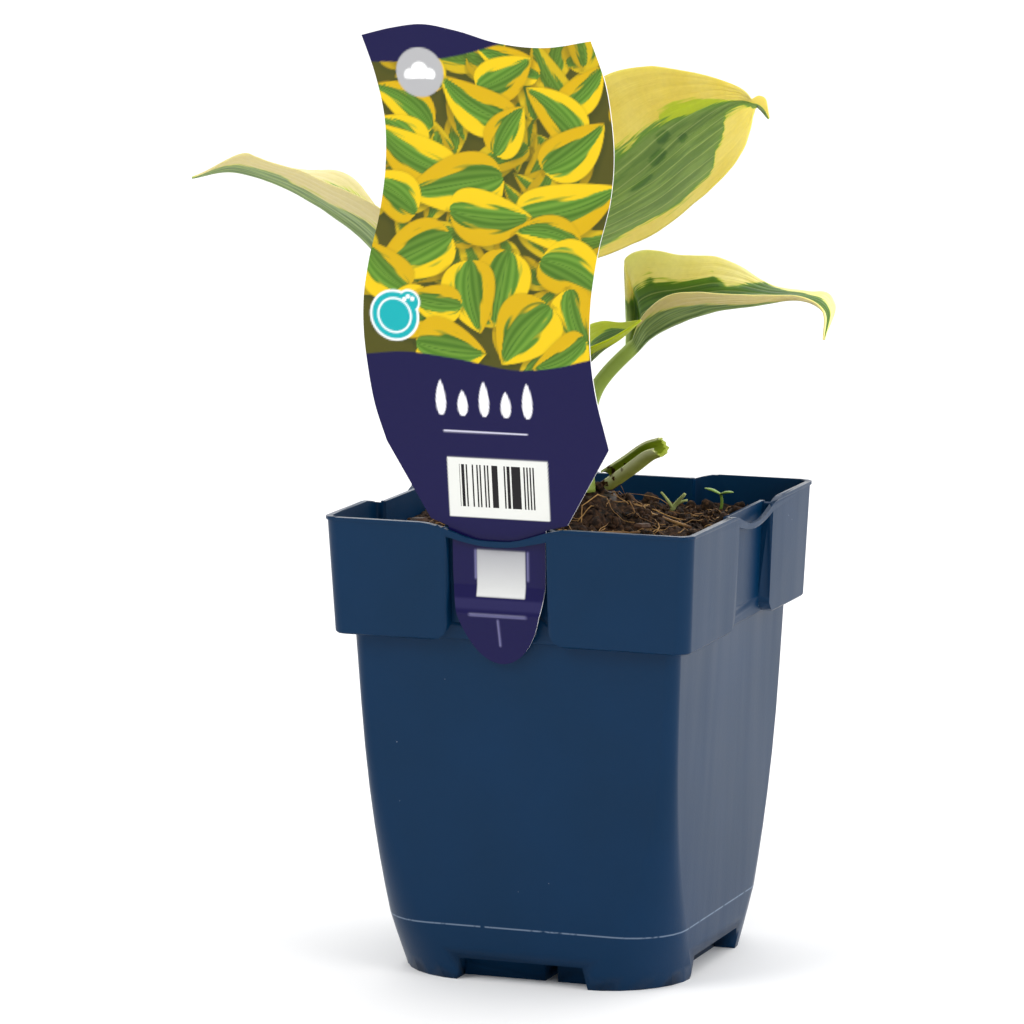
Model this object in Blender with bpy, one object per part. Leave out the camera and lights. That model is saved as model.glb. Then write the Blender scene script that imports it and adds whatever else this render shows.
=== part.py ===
"""Potted hosta: a square nursery pot with its growing medium, a hosta crown with four leaves and one cut
stalk, and a card label held in the pot's collar.

Lengths are in millimetres until a mesh is made; +Z is up, the front of the pot faces -Y, and the origin is the
middle of the foot pad that the pot stands on.
"""

import math

import bmesh
import bpy
import numpy as np
from mathutils import Vector, noise
from mathutils.bvhtree import BVHTree

METRE = 0.001  # metres in a millimetre
GAP = 0.3  # clearance between pieces that touch

# Pot, injection-moulded, 11 cm square
RIM_HALF = 55.0
RIM_HEIGHT = 133.2
BEAD = 0.4  # how far the rim stands out from the collar
BEAD_HEIGHT = 1.2
COLLAR_FOOT = 99.7
COLLAR_FOOT_HALF = 53.1
COLLAR_RADIUS = 4.0
BODY_TOP_HALF = 48.7
SEAM_HEIGHT = 16.3
SEAM_HALF = 44.5
FOOT_HALF = 42.6
CORNER_TOP_RADIUS = 3.8
CORNER_GROWTH = 20.5  # how much the corner radius grows towards the foot
CORNER_START = 80.0  # height below which the corners grow rounder
WALL = 1.2
CORNER_STEPS = 7

# Pocket for a label in the middle of each collar side, measured along the side
POCKET_LOW = -17.8
POCKET_HIGH = 12.2
POCKET_DEPTH = 3.3
POCKET_CORNER = 5.0
STRAP_END_DROP = 3.7  # from the rim to the strap's lower edge, at its ends
STRAP_SAG = 2.4
POCKET_WALL_DROP = 0.8  # from the rim to the top of the pocket's back wall
RIM_DIP = 4.4
RIM_DIP_CENTRE = -3.5
RIM_DIP_HALF = 22.0

# Under the pot: an arch in each side, with a drain groove behind it
ARCH_TOP_HALF = 18.5
ARCH_FOOT_HALF = 20.0
ARCH_HEIGHT = 6.5
ARCH_DEPTH = 6.5
CLEAR = 3.0  # how far a cutter runs past what it cuts
SLOT_DEPTH = 18.0  # of the slot behind the strap, from the rim
GROOVE_OFFSET = 6.6
GROOVE_HALF = 1.9
PAD_HALF = 12.5
DRAIN_LENGTH = 9.0
DRAIN_HALF = 1.3

# Growing medium
SOIL_LEVEL = 125.0
SOIL_EDGE_DROP = 4.0  # from the level down to where the medium leaves the wall
SOIL_LUMP = 1.1
SOIL_RINGS = 12
SOIL_SIDE_STEPS = 7
MOUND_HEIGHT = 7.0
MOUND_WIDTH = 15.0
HOLLOW = (13.0, -4.0)  # a dark dip beside the mound
HOLLOW_DEPTH = 3.0
HOLLOW_WIDTH = 7.0

# Crown, where every stalk starts
CROWN = (-1.0, 11.0)
CROWN_TOP = 133.0
CROWN_RADIUS = 10.5
CROWN_DEPTH = 20.0
ROOT_COUNT = 6
ROOT_THICK = 2.2  # radius where a root leaves the crown
ROOT_TAPER = 1.2

# Leaves
BLADE_THICKNESS = 0.8
RIB_DEPTH = 0.9
STALK_ROWS = 8
BLADE_ROWS = 28
BLADE_COLUMNS = 4  # on each side of the midrib
CHANNEL_ROLL = math.radians(115)  # how far a stalk's edges roll up round its channel
BLADE_OPENS = 0.10  # share of the blade over which the rolled stalk opens out flat

# Label, a die-cut plastic card that leans out over the collar
LABEL_THICKNESS = 0.5
LABEL_LEAN = 7.0  # degrees
LABEL_SLOT_Y = -52.8
LABEL_SLOT_Z = 130.0
LABEL_HEIGHT = 141.2  # from the strap to the corners of the top edge
LABEL_ROWS = 24
TONGUE_ROWS = 14
LABEL_COLUMNS = 6
LABEL_NECK = (2.6, 4.4)  # where the card widens above the strap
TONGUE_LENGTH = 37.6
TONGUE_MIDDLE = -2.4
TONGUE_HALF = 13.8
TONGUE_STRAIGHT = 8.0  # length of the tongue before it rounds off

# Small things on the medium
SEEDLING = (31.0, 40.0)
SPRIG = (19.0, 31.0)


# ---------------------------------------------------------------- general helpers


def clear_scene():
    for obj in list(bpy.data.objects):
        bpy.data.objects.remove(obj, do_unlink=True)


def material(name, colour, roughness, metallic=0.0):
    """A plain Principled finish; colour is linear RGB."""
    mat = bpy.data.materials.get(name) or bpy.data.materials.new(name)
    mat.use_nodes = True
    shader = mat.node_tree.nodes["Principled BSDF"]
    shader.inputs["Base Color"].default_value = (*colour, 1.0)
    shader.inputs["Roughness"].default_value = roughness
    shader.inputs["Metallic"].default_value = metallic
    return mat


def new_object(name, points, faces, mat=None):
    """A mesh object from points in millimetres, with its normals turned out."""
    mesh = bpy.data.meshes.new(name)
    mesh.from_pydata([tuple(METRE * c for c in p) for p in points], [], faces)
    obj = bpy.data.objects.new(name, mesh)
    bpy.context.scene.collection.objects.link(obj)
    work = bmesh.new()
    work.from_mesh(mesh)
    bmesh.ops.recalc_face_normals(work, faces=work.faces)
    work.to_mesh(mesh)
    work.free()
    if mat:
        mesh.materials.append(mat)
        mesh.shade_smooth()
        mesh.set_sharp_from_angle(angle=math.radians(35))
    return obj


def cutter(name, points, faces):
    obj = new_object(name, points, faces)
    obj.hide_render = True
    obj.display_type = "WIRE"
    return obj


def boolean(obj, operation, other):
    modifier = obj.modifiers.new(f"{operation.lower()}_{other.name}", "BOOLEAN")
    modifier.operation = operation
    modifier.object = other
    modifier.solver = "EXACT"
    return modifier


def loft(rings):
    """Points and faces of a closed solid through rings of equally many points, each end capped."""
    count = len(rings[0])
    points = [p for ring in rings for p in ring]
    faces = [tuple(range(count))]
    for r in range(len(rings) - 1):
        low, high = r * count, (r + 1) * count
        for i in range(count):
            j = (i + 1) % count
            faces.append((low + i, low + j, high + j, high + i))
    last = (len(rings) - 1) * count
    faces.append(tuple(last + i for i in reversed(range(count))))
    return points, faces


def merge(parts):
    """Several (points, faces) as one list of points and faces."""
    points, faces = [], []
    for part_points, part_faces in parts:
        start = len(points)
        points.extend(part_points)
        faces.extend(tuple(start + i for i in face) for face in part_faces)
    return points, faces


def smoothstep(u):
    u = min(max(u, 0.0), 1.0)
    return u * u * (3.0 - 2.0 * u)


def spline(points, t):
    """A point on the smooth Catmull-Rom curve through all the points, with t from 0 to 1."""
    place = min(max(t, 0.0), 1.0) * (len(points) - 1)
    i = min(int(place), len(points) - 2)
    u = place - i
    p1, p2 = Vector(points[i]), Vector(points[i + 1])
    p0 = Vector(points[i - 1]) if i > 0 else 2 * p1 - p2
    p3 = Vector(points[i + 2]) if i + 2 < len(points) else 2 * p2 - p1
    return 0.5 * (
        2 * p1
        + (p2 - p0) * u
        + (2 * p0 - 5 * p1 + 4 * p2 - p3) * u**2
        + (3 * p1 - p0 - 3 * p2 + p3) * u**3
    )


def tangent(points, t):
    step = 0.002
    return (spline(points, min(t + step, 1)) - spline(points, max(t - step, 0))).normalized()


def tube(path, radius, steps, section, up=(0, 0, 1)):
    """A closed sweep of section(t) along a path; radius(t) scales it and up steers its top."""
    rings = []
    for k in range(steps + 1):
        t = k / steps
        along = tangent(path, t)
        side = along.cross(Vector(up)).normalized()
        top = side.cross(along)
        centre = spline(path, t)
        scale = radius(t)
        rings.append([tuple(centre + scale * (x * side + y * top)) for x, y in section(t)])
    return loft(rings)


def round_section(count, flat=1.0):
    angles = [2 * math.pi * i / count for i in range(count)]
    ring = [(math.cos(a), flat * math.sin(a)) for a in angles]
    return lambda t: ring


def channel_section(depth):
    """A cut stalk's section: round below, with a groove along its top; depth is its floor's height."""
    start, end, count = math.radians(125), math.radians(415), 9
    arc = [start + (end - start) * i / (count - 1) for i in range(count)]
    ring = [(math.cos(a), math.sin(a)) for a in arc] + [(0.25, depth), (-0.25, depth)]
    return lambda t: ring


# ---------------------------------------------------------------- pot


def body_half(z):
    if z <= SEAM_HEIGHT:
        return FOOT_HALF + (SEAM_HALF - FOOT_HALF) * z / SEAM_HEIGHT
    return SEAM_HALF + (BODY_TOP_HALF - SEAM_HALF) * (z - SEAM_HEIGHT) / (COLLAR_FOOT - SEAM_HEIGHT)


def body_radius(z):
    return CORNER_TOP_RADIUS + CORNER_GROWTH * max(0.0, 1 - z / CORNER_START) ** 2.2


def collar_half(z):
    rise = (z - COLLAR_FOOT) / (RIM_HEIGHT - COLLAR_FOOT)
    return COLLAR_FOOT_HALF + (RIM_HALF - BEAD - COLLAR_FOOT_HALF) * rise


def rounded_square(half, radius, z, side_steps=1):
    """A ring of points round a square with rounded corners, with extra points along its sides."""
    ring = []
    reach = half - radius
    for quarter in range(4):
        turn = math.pi / 2 * quarter
        cos, sin = round(math.cos(turn)), round(math.sin(turn))
        corner = []
        for i in range(CORNER_STEPS + 1):
            a = math.pi / 2 * i / CORNER_STEPS
            corner.append((reach + radius * math.cos(a), reach + radius * math.sin(a)))
        for i in range(1, side_steps):
            corner.append((reach - 2 * reach * i / side_steps, half))
        ring.extend((x * cos - y * sin, x * sin + y * cos, z) for x, y in corner)
    return ring


BODY_HEIGHTS = (5.0, 10.0, SEAM_HEIGHT, 24.0, 33.0, 43.0, 54.0, 66.0, 80.0)


def outer_rings():
    levels = [(0.0, FOOT_HALF, body_radius(0))]
    levels += [(z, body_half(z), body_radius(z)) for z in BODY_HEIGHTS]
    levels += [
        (COLLAR_FOOT, BODY_TOP_HALF, CORNER_TOP_RADIUS),
        (COLLAR_FOOT, COLLAR_FOOT_HALF - 0.4, COLLAR_RADIUS - 0.2),
        (COLLAR_FOOT + 0.5, COLLAR_FOOT_HALF, COLLAR_RADIUS),
        (RIM_HEIGHT - BEAD_HEIGHT, RIM_HALF - BEAD, COLLAR_RADIUS),
        (RIM_HEIGHT - BEAD_HEIGHT + BEAD, RIM_HALF, COLLAR_RADIUS),
        (RIM_HEIGHT, RIM_HALF, COLLAR_RADIUS),
    ]
    return [rounded_square(half, radius, z) for z, half, radius in levels]


def cavity_levels(inset, floor, top):
    """(height, half-width, corner radius) up the inside of the pot, held in from its faces by inset."""
    step_out = COLLAR_FOOT + inset
    levels = [(floor, body_half(floor) - inset, body_radius(floor) - inset)]
    levels += [(z, body_half(z) - inset, body_radius(z) - inset) for z in BODY_HEIGHTS if z > floor]
    levels += [
        (step_out, BODY_TOP_HALF - inset, CORNER_TOP_RADIUS - inset),
        (step_out, collar_half(step_out) - inset, COLLAR_RADIUS - inset),
        (top, collar_half(min(top, RIM_HEIGHT)) - inset, COLLAR_RADIUS - inset),
    ]
    return levels


def rim_dip(u):
    """How far the rim is cut down at a place u along a side."""
    return RIM_DIP * smoothstep(1.15 * (1 - abs(u - RIM_DIP_CENTRE) / RIM_DIP_HALF))


def strap_foot(u):
    middle = (POCKET_LOW + POCKET_HIGH) / 2
    reach = (POCKET_HIGH - POCKET_LOW) / 2
    return RIM_HEIGHT - STRAP_END_DROP - STRAP_SAG * math.cos(math.pi / 2 * (u - middle) / reach)


def prism(outline, near, far):
    """A front-side solid between two depths; outline is (u, z) and near and far give depth by height."""
    front = [(u, -near(z), z) for u, z in outline]
    back = [(u, -far(z), z) for u, z in outline]
    return loft([front, back])


def outside(z):
    return RIM_HALF + 2 * CLEAR


def pocket_back(grow):
    return lambda z: collar_half(z) - POCKET_DEPTH - grow


def pocket_outline(grow):
    """The label pocket's outline; the two panels beside it have rounded lower corners."""
    low, high = POCKET_LOW - grow, POCKET_HIGH + grow
    radius = POCKET_CORNER
    turn = COLLAR_FOOT + radius + grow
    arc = [math.pi / 2 * i / 4 for i in range(5)]
    right = [(high + radius * (1 - math.cos(a)), turn - radius * math.sin(a)) for a in arc]
    left = [(low - radius * (1 - math.cos(a)), turn - radius * math.sin(a)) for a in reversed(arc)]
    foot = COLLAR_FOOT - 1.0
    return right + [(high + radius, foot), (low - radius, foot)] + left


def pocket_cut():
    steps = 10
    top = []
    for i in range(steps + 1):
        u = POCKET_LOW + (POCKET_HIGH - POCKET_LOW) * i / steps
        top.append((u, strap_foot(u)))
    return prism(pocket_outline(0.0) + top, outside, pocket_back(0.0))


def pocket_block(grow):
    """The pocket with its walls, which stand into the pot's inside."""
    top = RIM_HEIGHT + CLEAR + 1.0
    outline = pocket_outline(grow) + [(POCKET_LOW - grow, top), (POCKET_HIGH + grow, top)]
    return prism(outline, outside, pocket_back(grow))


def slot_cut():
    """The slot behind the strap, open at the top."""
    low, high = RIM_HEIGHT - SLOT_DEPTH, RIM_HEIGHT + CLEAR
    outline = [(POCKET_LOW, low), (POCKET_HIGH, low), (POCKET_HIGH, high), (POCKET_LOW, high)]
    return prism(outline, lambda z: collar_half(z) - WALL, pocket_back(0.0))


def rim_cut():
    steps = 18
    outline = []
    for i in range(steps + 1):
        u = RIM_DIP_CENTRE + RIM_DIP_HALF * (2 * i / steps - 1)
        outline.append((u, RIM_HEIGHT - max(rim_dip(u), 0.02)))
    top = RIM_HEIGHT + CLEAR
    outline.append((RIM_DIP_CENTRE + RIM_DIP_HALF, top))
    outline.append((RIM_DIP_CENTRE - RIM_DIP_HALF, top))
    return prism(outline, outside, lambda z: collar_half(z) - POCKET_DEPTH + GAP)


def pocket_wall_cut():
    """The low top of the wall at the back of the pocket, and of the walls beside it."""
    low, high = POCKET_LOW - WALL - GAP, POCKET_HIGH + WALL + GAP
    foot, top = RIM_HEIGHT - POCKET_WALL_DROP, RIM_HEIGHT + CLEAR
    outline = [(low, foot), (high, foot), (high, top), (low, top)]
    return prism(outline, lambda z: RIM_HALF - BEAD - WALL - GAP, lambda z: RIM_HALF - 10)


def arch_cut(grow):
    """An arch and its drain groove seen from below, as one T-shaped block."""
    top, foot = ARCH_TOP_HALF + grow, ARCH_FOOT_HALF + grow
    back = FOOT_HALF - ARCH_DEPTH - grow
    low, high = GROOVE_OFFSET - GROOVE_HALF - grow, GROOVE_OFFSET + GROOVE_HALF + grow
    tip = PAD_HALF - grow

    front = RIM_HALF + CLEAR

    def plan(half, z):
        mouth = [(-half, -front, z), (half, -front, z), (half, -back, z), (high, -back, z)]
        groove = [(high, -tip, z), (low, -tip, z), (low, -back, z), (-half, -back, z)]
        return mouth + groove

    return loft([plan(foot, -1.0), plan(top, ARCH_HEIGHT + grow)])


def drain_cut():
    low, high = GROOVE_OFFSET - DRAIN_HALF, GROOVE_OFFSET + DRAIN_HALF
    near, far = -PAD_HALF - 1, -PAD_HALF - 1 - DRAIN_LENGTH
    plan = [(low, far), (high, far), (high, near), (low, near)]
    return loft([[(x, y, z) for x, y in plan] for z in (ARCH_HEIGHT - 1, ARCH_HEIGHT + 4)])


def four_sides(part):
    """One side's shape on all four sides; neighbouring sides mirror each other across the corners."""
    points, faces = part
    turns = (
        lambda x, y: (x, y),
        lambda x, y: (-x, -y),
        lambda x, y: (-y, -x),
        lambda x, y: (y, x),
    )
    return merge([([(*turn(x, y), z) for x, y, z in points], faces) for turn in turns])


def make_pot():
    blue = material("moulded_polypropylene", (0.012, 0.042, 0.105), 0.38)
    pot = new_object("pot", *loft(outer_rings()), blue)
    levels = cavity_levels(WALL, WALL, RIM_HEIGHT + 5)
    cavity = cutter("pot_cavity", *loft([rounded_square(half, radius, z) for z, half, radius in levels]))
    boolean(cavity, "DIFFERENCE", cutter("pocket_walls", *four_sides(pocket_block(WALL))))
    boolean(cavity, "DIFFERENCE", cutter("arch_walls", *four_sides(arch_cut(WALL))))
    boolean(pot, "DIFFERENCE", cavity)
    boolean(pot, "DIFFERENCE", cutter("pockets", *four_sides(pocket_cut())))
    boolean(pot, "DIFFERENCE", cutter("slots", *four_sides(slot_cut())))
    boolean(pot, "DIFFERENCE", cutter("rim_dips", *four_sides(rim_cut())))
    boolean(pot, "DIFFERENCE", cutter("pocket_wall_tops", *four_sides(pocket_wall_cut())))
    boolean(pot, "DIFFERENCE", cutter("arches", *four_sides(arch_cut(0.0))))
    boolean(pot, "DIFFERENCE", cutter("drains", *four_sides(drain_cut())))
    return pot


# ---------------------------------------------------------------- growing medium


def soil_height(x, y):
    """The height of the medium: level near the walls, mounded up round the crown, lumpy all over."""
    away = math.hypot(x - CROWN[0], y - CROWN[1])
    mound = MOUND_HEIGHT * math.exp(-((away / MOUND_WIDTH) ** 2))
    dip = math.hypot(x - HOLLOW[0], y - HOLLOW[1])
    hollow = HOLLOW_DEPTH * math.exp(-((dip / HOLLOW_WIDTH) ** 2))
    lump = noise.noise(Vector((x, y, 0)) / 9.0) + 0.5 * noise.noise(Vector((x, y, 40)) / 4.5)
    edge = smoothstep((50.0 - max(abs(x), abs(y))) / 8.0)
    return SOIL_LEVEL + mound - hollow + SOIL_LUMP * lump * (0.4 + 0.6 * edge)


def soil_solid(inset):
    levels = cavity_levels(inset, inset, SOIL_LEVEL - SOIL_EDGE_DROP)
    rings = [rounded_square(half, radius, z, SOIL_SIDE_STEPS) for z, half, radius in levels]
    edge = rings[-1]
    for k in range(SOIL_RINGS):
        scale = 1 - k / SOIL_RINGS
        rings.append([(x * scale, y * scale, soil_height(x * scale, y * scale)) for x, y, _ in edge])
    points, faces = loft(rings)
    cap = faces.pop()
    points.append((0.0, 0.0, soil_height(0.0, 0.0)))
    faces.extend((a, b, len(points) - 1) for a, b in zip(cap, cap[1:] + cap[:1]))
    return points, faces


def make_medium():
    brown = material("peat_and_coir", (0.030, 0.018, 0.011), 0.95)
    inset = WALL + GAP
    medium = new_object("growing_medium", *soil_solid(inset), brown)
    boolean(medium, "DIFFERENCE", cutter("medium_pockets", *four_sides(pocket_block(inset))))
    boolean(medium, "DIFFERENCE", cutter("medium_arches", *four_sides(arch_cut(inset))))
    crown_room = crown_solid("crown_room", GAP)
    crown_room.hide_render = True
    crown_room.display_type = "WIRE"
    boolean(medium, "DIFFERENCE", crown_room)
    return medium


# ---------------------------------------------------------------- crown and roots


def crown_body(grow):
    """A short knobbly rhizome, flat where the stalks leave it."""
    rings = []
    steps = 14
    waist = ((-CROWN_DEPTH, 0.45), (-15.0, 0.8), (-9.0, 1.0), (-3.0, 0.98), (-0.8, 0.9), (0.0, 0.78))
    for z, width in waist:
        ring = []
        for i in range(steps):
            a = 2 * math.pi * i / steps
            knob = 1 + 0.07 * math.sin(3 * a + z) + 0.04 * math.sin(5 * a)
            reach = CROWN_RADIUS * width * knob + grow
            top = CROWN_TOP + z
            if z == 0.0:
                top += grow
            if z == -CROWN_DEPTH:
                top -= grow
            ring.append((CROWN[0] + reach * math.cos(a), CROWN[1] + 0.85 * reach * math.sin(a), top))
        rings.append(ring)
    return loft(rings)


def root_angle(k):
    return 2 * math.pi * (k + 0.3) / ROOT_COUNT


def root_path(k, grow):
    """A fleshy root that leaves the crown sideways and bends down into the medium."""
    a = root_angle(k)
    wander = 6 * math.sin(2.3 * k)
    reach = (3.0, 15.0, 22.0 + wander / 2, 25.0 + wander)
    drop = (14.0, 20.0, 42.0, 70.0 + 3 * wander + 2 * grow)
    return [
        (CROWN[0] + r * math.cos(a + 0.1 * i), CROWN[1] + 0.8 * r * math.sin(a + 0.1 * i), CROWN_TOP - d)
        for i, (r, d) in enumerate(zip(reach, drop))
    ]


def crown_solid(name, grow, mat=None):
    obj = new_object(name, *crown_body(grow), mat)
    for k in range(ROOT_COUNT):
        a = root_angle(k)
        across = (-math.sin(a), math.cos(a), 0)
        path = root_path(k, grow)
        parts = tube(path, lambda t: ROOT_THICK - ROOT_TAPER * t + 1.2 * grow, 9, round_section(6), across)
        boolean(obj, "UNION", cutter(f"{name}_root_{k + 1}", *parts))
    return obj


# ---------------------------------------------------------------- leaves


def flowing(keys, t):
    """A value read off a smooth curve through (place, value) keys."""
    places, values = zip(*keys)
    slopes = np.gradient(values, places)
    i = max(k for k in range(len(places) - 1) if k == 0 or places[k] < t)
    span = places[i + 1] - places[i]
    u = min(max((t - places[i]) / span, 0.0), 1.0)
    ends = (1 + 2 * u) * (1 - u) ** 2 * values[i] + u * u * (3 - 2 * u) * values[i + 1]
    return float(ends + span * (u * (1 - u) ** 2 * slopes[i] - u * u * (1 - u) * slopes[i + 1]))


def leaf_up(leaf, t, neck):
    """The direction that a leaf's upper face looks in: along the stalk first, then along the blade."""
    base, tip = (Vector(up) for up in leaf["up"])
    if t < neck:
        return Vector(leaf["stalk_up"]).normalized().lerp(base.normalized(), smoothstep(t / neck))
    return base.normalized().lerp(tip.normalized(), (t - neck) / (1 - neck))


def leaf_rows(leaf):
    """The middle surface of a leaf, as rows from the foot of the stalk to the tip of the blade.

    The blade's two halves run down into the rolled edges of the channelled stalk, so one sheet is the
    whole leaf.
    """
    axis = leaf["stalk"] + leaf["midrib"]
    neck = len(leaf["stalk"]) / (len(axis) - 1)
    thick, thin = leaf["stalk_width"]
    rows = []
    for k in range(STALK_ROWS + BLADE_ROWS + 1):
        if k < STALK_ROWS:
            t, blade = neck * k / STALK_ROWS, 0.0
        else:
            blade = 0.004 + 0.99 * (k - STALK_ROWS) / BLADE_ROWS
            t = neck + (1 - neck) * blade
        along = tangent(axis, t)
        up = leaf_up(leaf, t, neck)
        up = (up - up.dot(along) * along).normalized()
        right = along.cross(up)
        stalk_width = thick + (thin - thick) * smoothstep(t / neck)
        spread = smoothstep(blade / BLADE_OPENS)
        row = {0: spline(axis, t)}
        for side, half in ((-1, leaf["left"]), (1, leaf["right"])):
            width, sweep = stalk_width, 0.0
            if k >= STALK_ROWS:
                width = max(stalk_width * (1 - spread), flowing(half["width"], blade))
                sweep = flowing(half["sweep"], blade)
            fold = math.radians(flowing(half["fold"], blade))
            cup = math.radians(half["cup"])
            place = row[0].copy()
            for j in range(1, BLADE_COLUMNS + 1):
                share = (j - 0.5) / BLADE_COLUMNS
                angle = (fold + cup * share) * spread + CHANNEL_ROLL * share * (1 - spread)
                step = width / BLADE_COLUMNS
                place = place + step * (side * math.cos(angle) * right + math.sin(angle) * up)
                place = place + sweep / BLADE_COLUMNS * along
                row[side * j] = place.copy()
        rows.append([row[j] for j in range(-BLADE_COLUMNS, BLADE_COLUMNS + 1)])
    return rows


def sheet_solid(rows, thickness, rib=0.0):
    """A closed sheet round a grid of points; rib thickens its underside along the middle column."""
    grid = np.array([[tuple(p) for p in row] for row in rows])
    normal = np.cross(np.gradient(grid, axis=1), np.gradient(grid, axis=0))
    normal /= np.maximum(np.linalg.norm(normal, axis=2, keepdims=True), 1e-9)
    height, width = grid.shape[:2]
    below = np.full((height, width, 1), thickness / 2)
    below[:, width // 2, 0] += rib * np.linspace(1.0, 0.0, height)
    upper = grid + normal * thickness / 2
    lower = grid - normal * below
    points = [tuple(p) for p in upper.reshape(-1, 3)] + [tuple(p) for p in lower.reshape(-1, 3)]
    other = height * width
    faces = []
    for i in range(height - 1):
        for j in range(width - 1):
            a, b, c, d = (i * width + j, i * width + j + 1, (i + 1) * width + j + 1, (i + 1) * width + j)
            faces.append((a, b, c))
            faces.append((a, c, d))
            faces.append((other + c, other + b, other + a))
            faces.append((other + d, other + c, other + a))
    edge = list(range(width))
    edge += [i * width + width - 1 for i in range(1, height)]
    edge += [(height - 1) * width + j for j in range(width - 2, -1, -1)]
    edge += [i * width for i in range(height - 2, 0, -1)]
    for a, b in zip(edge, edge[1:] + edge[:1]):
        faces.append((b, a, other + a))
        faces.append((b, other + a, other + b))
    return points, faces


def make_leaf(name, leaf, mat):
    return new_object(name, *sheet_solid(leaf_rows(leaf), BLADE_THICKNESS, RIB_DEPTH), mat)


def side(width, sweep, fold, cup=0.0):
    return {"width": width, "sweep": sweep, "fold": fold, "cup": cup}


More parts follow.
